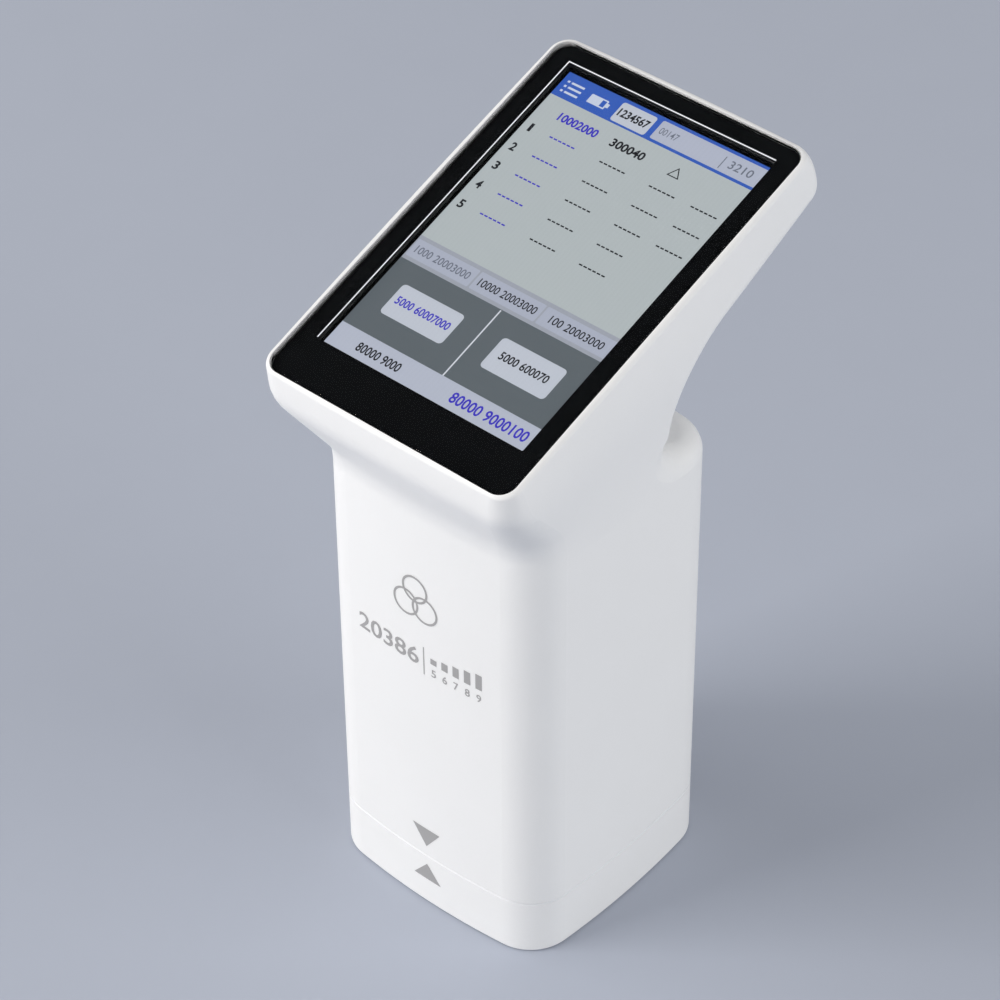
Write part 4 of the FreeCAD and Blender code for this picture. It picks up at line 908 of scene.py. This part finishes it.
@dataclass
class Display:
    """The black print of the glass, the lit picture below it and a painted highlight at the window.

    Attributes:
        slope: The rim's plane.
        glass: Width, length and corner radius of the glass.
        print_inset: How far the print stays inside the glass's edge.
        window: Width, length and corner radius of the clear window.
        window_rise: How far the window's middle lies above the glass's.
        picture_rise: How far the picture's middle lies above the glass's.
        layer_step: Distance from layer to layer.
        line: The painted highlight's left and right end, its low end and its top.
        line_width: The painted highlight's width.
        parts: The parts of the lit picture, in the order in which they are drawn.
    """

    slope: Slope = field(default_factory=Slope)
    glass: tuple[float, float, float] = (58.4, 88.95, 3.2)
    print_inset: float = 0.05
    window: tuple[float, float, float] = (49.5, 74.95, 0.5)
    window_rise: float = 3.05
    picture_rise: float = 3.1
    layer_step: float = 0.02
    line: tuple[float, float, float, float] = (-25.15, 24.6, -34.1, 40.92)
    line_width: float = 0.27
    parts: tuple[Header, Readings, Keys] = (Header(), Readings(), Keys())

    def build(self) -> None:
        """Builds the print, the painted highlight and the picture."""
        self._print()
        self._gleam()
        self._picture()

    def _print(self) -> None:
        """The black print: a flat ring inside the glass, near its lower face.

        Its outer edge is the glass's outline less the inset, its inner edge the window's.
        """
        depth = self.slope.depth_of("cover_glass", lowest=True) - self.layer_step
        width, length, corner = self.glass
        inset = self.print_inset
        outer = rounded(width - inset * 2, length - inset * 2, corner - inset)
        inner = rounded(*self.window, middle=(0, self.window_rise))
        count = len(outer)
        start = np.arange(count)
        stop = (start + 1) % count
        faces = np.stack([start, stop, stop + count, start + count], axis=-1)
        corners = self.slope.points(np.vstack([outer, inner]), depth)
        new_piece("glass_print", corners, faces.tolist(), [GLASS_PRINT.material()], INSTRUMENT)

    def _gleam(self) -> None:
        """A painted highlight at the window: a glowing thin line up its left side and along its
        top, in place of the lit edge of the display's bezel.

        Its corners lie half the width on either side of the line.
        """
        left, right, low, top = self.line
        half = self.line_width / 2
        flat = np.array([(left - half, low), (left + half, low), (left + half, top - half),
                         (left - half, top + half), (right, top - half), (right, top + half)])
        depth = self.slope.depth_of("cover_glass", lowest=True) - self.layer_step * 2
        # Painted highlight: the line glows in place of the bezel's lit edge
        new_piece("window_painted_highlight", self.slope.points(flat, depth), [(0, 1, 2, 3), (3, 2, 4, 5)],
                  [Ink.GLEAM.glow()], INSTRUMENT)

    def _picture(self) -> None:
        """The lit picture: a header, five rows of dashes, a strip, two large keys and two tabs.

        Each corner lies on the panel's upper face, raised by one step and one for each layer.
        """
        art = FlatArt()
        Area(-HALF, HALF, -TALL, TALL, Ink.PANEL, Layer.GROUND).draw(art)
        for part in self.parts:
            part.draw(art)
        corners, palette = art.corners(), art.palette()
        placed = self.slope.points(corners[:, :2] + np.array([0, self.picture_rise]),
                                   self.slope.depth_of("lcd_panel"))
        out = self.slope.axes()[2]
        placed += (corners[:, 2:] + 1) * self.layer_step * out
        new_piece("lit_picture", placed, art.faces, [ink.glow() for ink in palette],
                  INSTRUMENT, [palette.index(ink) for ink in art.inks])


@dataclass
class FrontMarks:
    """Grey prints on the front face: two arrows that meet at the seam and a plain scale above.

    The face is a shallow arc across: its depth is the arc's centre less the root of the radius
    squared minus the distance across squared, and the print lies a little in front of it.

    Attributes:
        front: How far the face's middle lies in front of the axis.
        crown: How far the arc rises over its chord.
        chord: Half the chord.
        lift: How far the print stands off the face.
        layer_step: Distance from layer to layer.
        arrows: The heights of each arrow's base and tip.
        arrow_width: An arrow's width.
        rings: The centres of the three rings.
        ring_radius: Their radius.
        ring_line: The width of their line.
        number: The number below the rings.
        divider: The upright line beside it.
        bar_left: The left edge of the scale's first bar.
        bar_pitch: Distance from bar to bar.
        bar_width: A bar's width.
        bar_foot: The height of the bars' feet.
        bars: The bars' heights.
        first_digit: The digit under the first bar.
        digit_level: The height of the digits' middle.
        digit_size: A digit's width and height.
    """

    front: float = 28.42
    crown: float = 1.08
    chord: float = 18.95
    lift: float = 0.03
    layer_step: float = 0.004
    arrows: tuple[Point, ...] = ((21.4, 16.4), (6.9, 11.3))
    arrow_width: float = 7.1
    rings: tuple[Point, ...] = ((-3.6, 80.5), (1.2, 80.5), (-1.2, 84.7))
    ring_radius: float = 3.0
    ring_line: float = 0.5
    number: Number = Number("20386", (-8.75, 67.7), (16.2, 4.2), Ink.PRINT, Layer.GROUND,
                            weight=0.012)
    divider: Area = Area(0.55, 0.8, 64.0, 71.1, Ink.PRINT, Layer.GROUND)
    bar_left: float = 2.4
    bar_pitch: float = 2.75
    bar_width: float = 1.5
    bar_foot: float = 67.8
    bars: tuple[float, ...] = (1.4, 2.0, 2.6, 3.2, 3.8)
    first_digit: int = 5
    digit_level: float = 65.5
    digit_size: Point = (1.15, 1.9)

    def build(self) -> None:
        """Builds the marks, each on the body that carries it."""
        for name, (base, tip), body in zip(("upper_arrow", "lower_arrow"), self.arrows,
                                           (INSTRUMENT, BASE)):
            art = FlatArt()
            art.arrow(base, tip, self.arrow_width / 2, Ink.PRINT, Layer.GROUND)
            self._place(name, art, body)
        art = FlatArt()
        for layer, middle in enumerate(self.rings):
            art.ring(middle, self.ring_radius, self.ring_line, Ink.PRINT, layer)
        self.number.draw(art)
        self.divider.draw(art)
        for place, height in enumerate(self.bars):
            left = self.bar_left + place * self.bar_pitch
            Area(left, left + self.bar_width, self.bar_foot, self.bar_foot + height, Ink.PRINT,
                 Layer.GROUND).draw(art)
            Number(str(self.first_digit + place), (left + self.bar_width / 2, self.digit_level),
                   self.digit_size, Ink.PRINT, Layer.GROUND, weight=0.01).draw(art)
        self._place("front_scale", art, INSTRUMENT)

    def _place(self, name: str, art: FlatArt, body: str) -> None:
        """Bends a print onto the face and makes it a piece.

        Args:
            name: The piece's name.
            art: The print.
            body: The body that carries it.
        """
        flat = art.corners()
        radius = (self.chord**2 + self.crown**2) / (2 * self.crown)
        bend = radius - np.sqrt(radius**2 - flat[:, 0]**2)
        depth = bend - self.front - self.lift - flat[:, 2] * self.layer_step
        corners = np.stack([flat[:, 0], depth, flat[:, 1]], axis=-1)
        new_piece(name, corners, art.faces, [GREY_PRINT.material()], body)


@dataclass(frozen=True)
class Lamp:
    """A square soft lamp: its place, the length of its side, its power in watts and its colour."""

    name: str
    place: tuple[float, float, float]
    side: float
    power: float
    colour: str = "FFFFFF"

    def build(self, aim: tuple[float, float, float]) -> None:
        """Hangs the lamp at its place and turns it to a point.

        Args:
            aim: The point that it shines at.
        """
        lamp = bpy.data.lights.new(self.name, "AREA")
        lamp.shape = "SQUARE"
        lamp.size = self.side * MM
        lamp.energy = self.power
        lamp.color = linear(self.colour)[:3]
        holder = bpy.data.objects.new(self.name, lamp)
        away = Vector(self.place) - Vector(aim)
        holder.matrix_world = (Matrix.Translation(Vector(self.place) * MM)
                               @ away.to_track_quat("Z", "Y").to_matrix().to_4x4())
        bpy.context.scene.collection.objects.link(holder)


@dataclass
class Studio:
    """The camera of the photograph, three soft lamps, an even sky and a plain floor.

    Attributes:
        focus: The lens's focal length.
        sensor: The width of the sensor.
        near: How near to the camera the picture starts.
        azimuth: How far the camera is turned from the front, in degrees.
        elevation: How high it looks down from, in degrees.
        roll: How far it is turned about its axis, in degrees.
        distance: How far it is from its target.
        target: The point in the middle of the picture.
        lamps: A low lamp at the front left, one at the right and a high one at the left.
        aim: The point that the lamps shine at.
        sky: The sky's colour.
        sky_strength: The sky's strength.
        floor_reach: How far the floor reaches from the object to each side.
    """

    focus: float = 131.97
    sensor: float = 36.0
    near: float = 10.0
    azimuth: float = 41.60
    elevation: float = 40.57
    roll: float = -0.556
    distance: float = 706.5
    target: tuple[float, float, float] = (-4.70, 0.0, 86.50)
    lamps: tuple[Lamp, ...] = (
        Lamp("front_lamp", (-1190, -1700, 790), 1190, 35.0, "FFFCF9"),
        Lamp("side_lamp", (2006, 537, 790), 1900, 25.0),
        Lamp("high_lamp", (-1353, -782, 1640), 1190, 8.6),
    )
    aim: tuple[float, float, float] = (0, 0, 80)
    sky: str = "FDFDFF"
    sky_strength: float = 0.375
    floor_reach: float = 4000.0

    def build(self) -> None:
        """Builds the camera, the lamps, the sky and the floor."""
        self._camera()
        for lamp in self.lamps:
            lamp.build(self.aim)
        self._sky()
        self._floor()

    def _camera(self) -> None:
        """Sets the camera at its place, with its axes from azimuth, height and roll."""
        turn, rise, roll = (math.radians(angle)
                            for angle in (self.azimuth, self.elevation, self.roll))
        back = Vector((math.sin(turn) * math.cos(rise), -math.cos(turn) * math.cos(rise),
                       math.sin(rise)))
        right = (-back).cross(Vector((0, 0, 1))).normalized()
        up = right.cross(-back)
        right, up = (math.cos(roll) * right + math.sin(roll) * up,
                     -math.sin(roll) * right + math.cos(roll) * up)
        place = (Vector(self.target) + back * self.distance) * MM
        turned = Matrix((right, up, back)).transposed().to_4x4()
        lens = bpy.data.cameras.new("photo_camera")
        lens.lens = self.focus
        lens.sensor_width = self.sensor
        lens.clip_start = self.near * MM
        camera = bpy.data.objects.new("photo_camera", lens)
        camera.matrix_world = Matrix.Translation(place) @ turned
        bpy.context.scene.collection.objects.link(camera)
        bpy.context.scene.camera = camera

    def _sky(self) -> None:
        """Gives the world one even colour."""
        world = bpy.context.scene.world or bpy.data.worlds.new("sky")
        bpy.context.scene.world = world
        world.use_nodes = True
        background = world.node_tree.nodes["Background"]
        background.inputs["Color"].default_value = linear(self.sky)
        background.inputs["Strength"].default_value = self.sky_strength

    def _floor(self) -> None:
        """A plain pale floor under the object."""
        reach = self.floor_reach * MM
        mesh = bpy.data.meshes.new("floor")
        mesh.from_pydata([(-reach, -reach, 0), (reach, -reach, 0), (reach, reach, 0),
                          (-reach, reach, 0)], [], [(0, 1, 2, 3)])
        floor = bpy.data.objects.new("floor", mesh)
        bpy.context.scene.collection.objects.link(floor)
        mesh.materials.append(BACKDROP.material())


def dress_nodes() -> None:
    """Gives every CAD node the finish of its material slot."""
    for name, node in sorted(frame["nodes"].items()):
        for place in node.material_slots:
            slot = place.material.name.split(".")[0]
            place.material = FINISHES[slot].material()
            LOG.info("%s wears %s", name, FINISHES[slot].name)


def main() -> None:
    """Builds everything in order."""
    logging.basicConfig(level=logging.INFO, format="%(name)s: %(message)s")
    for thing in list(bpy.data.objects):
        if thing.type in {"LIGHT", "CAMERA"} or thing.name == "Cube":
            bpy.data.objects.remove(thing)
    scene = bpy.context.scene
    scene.view_settings.view_transform = "Standard"
    Studio().build()
    dress_nodes()
    Display().build()
    FrontMarks().build()


if __name__ == "__main__":
    main()
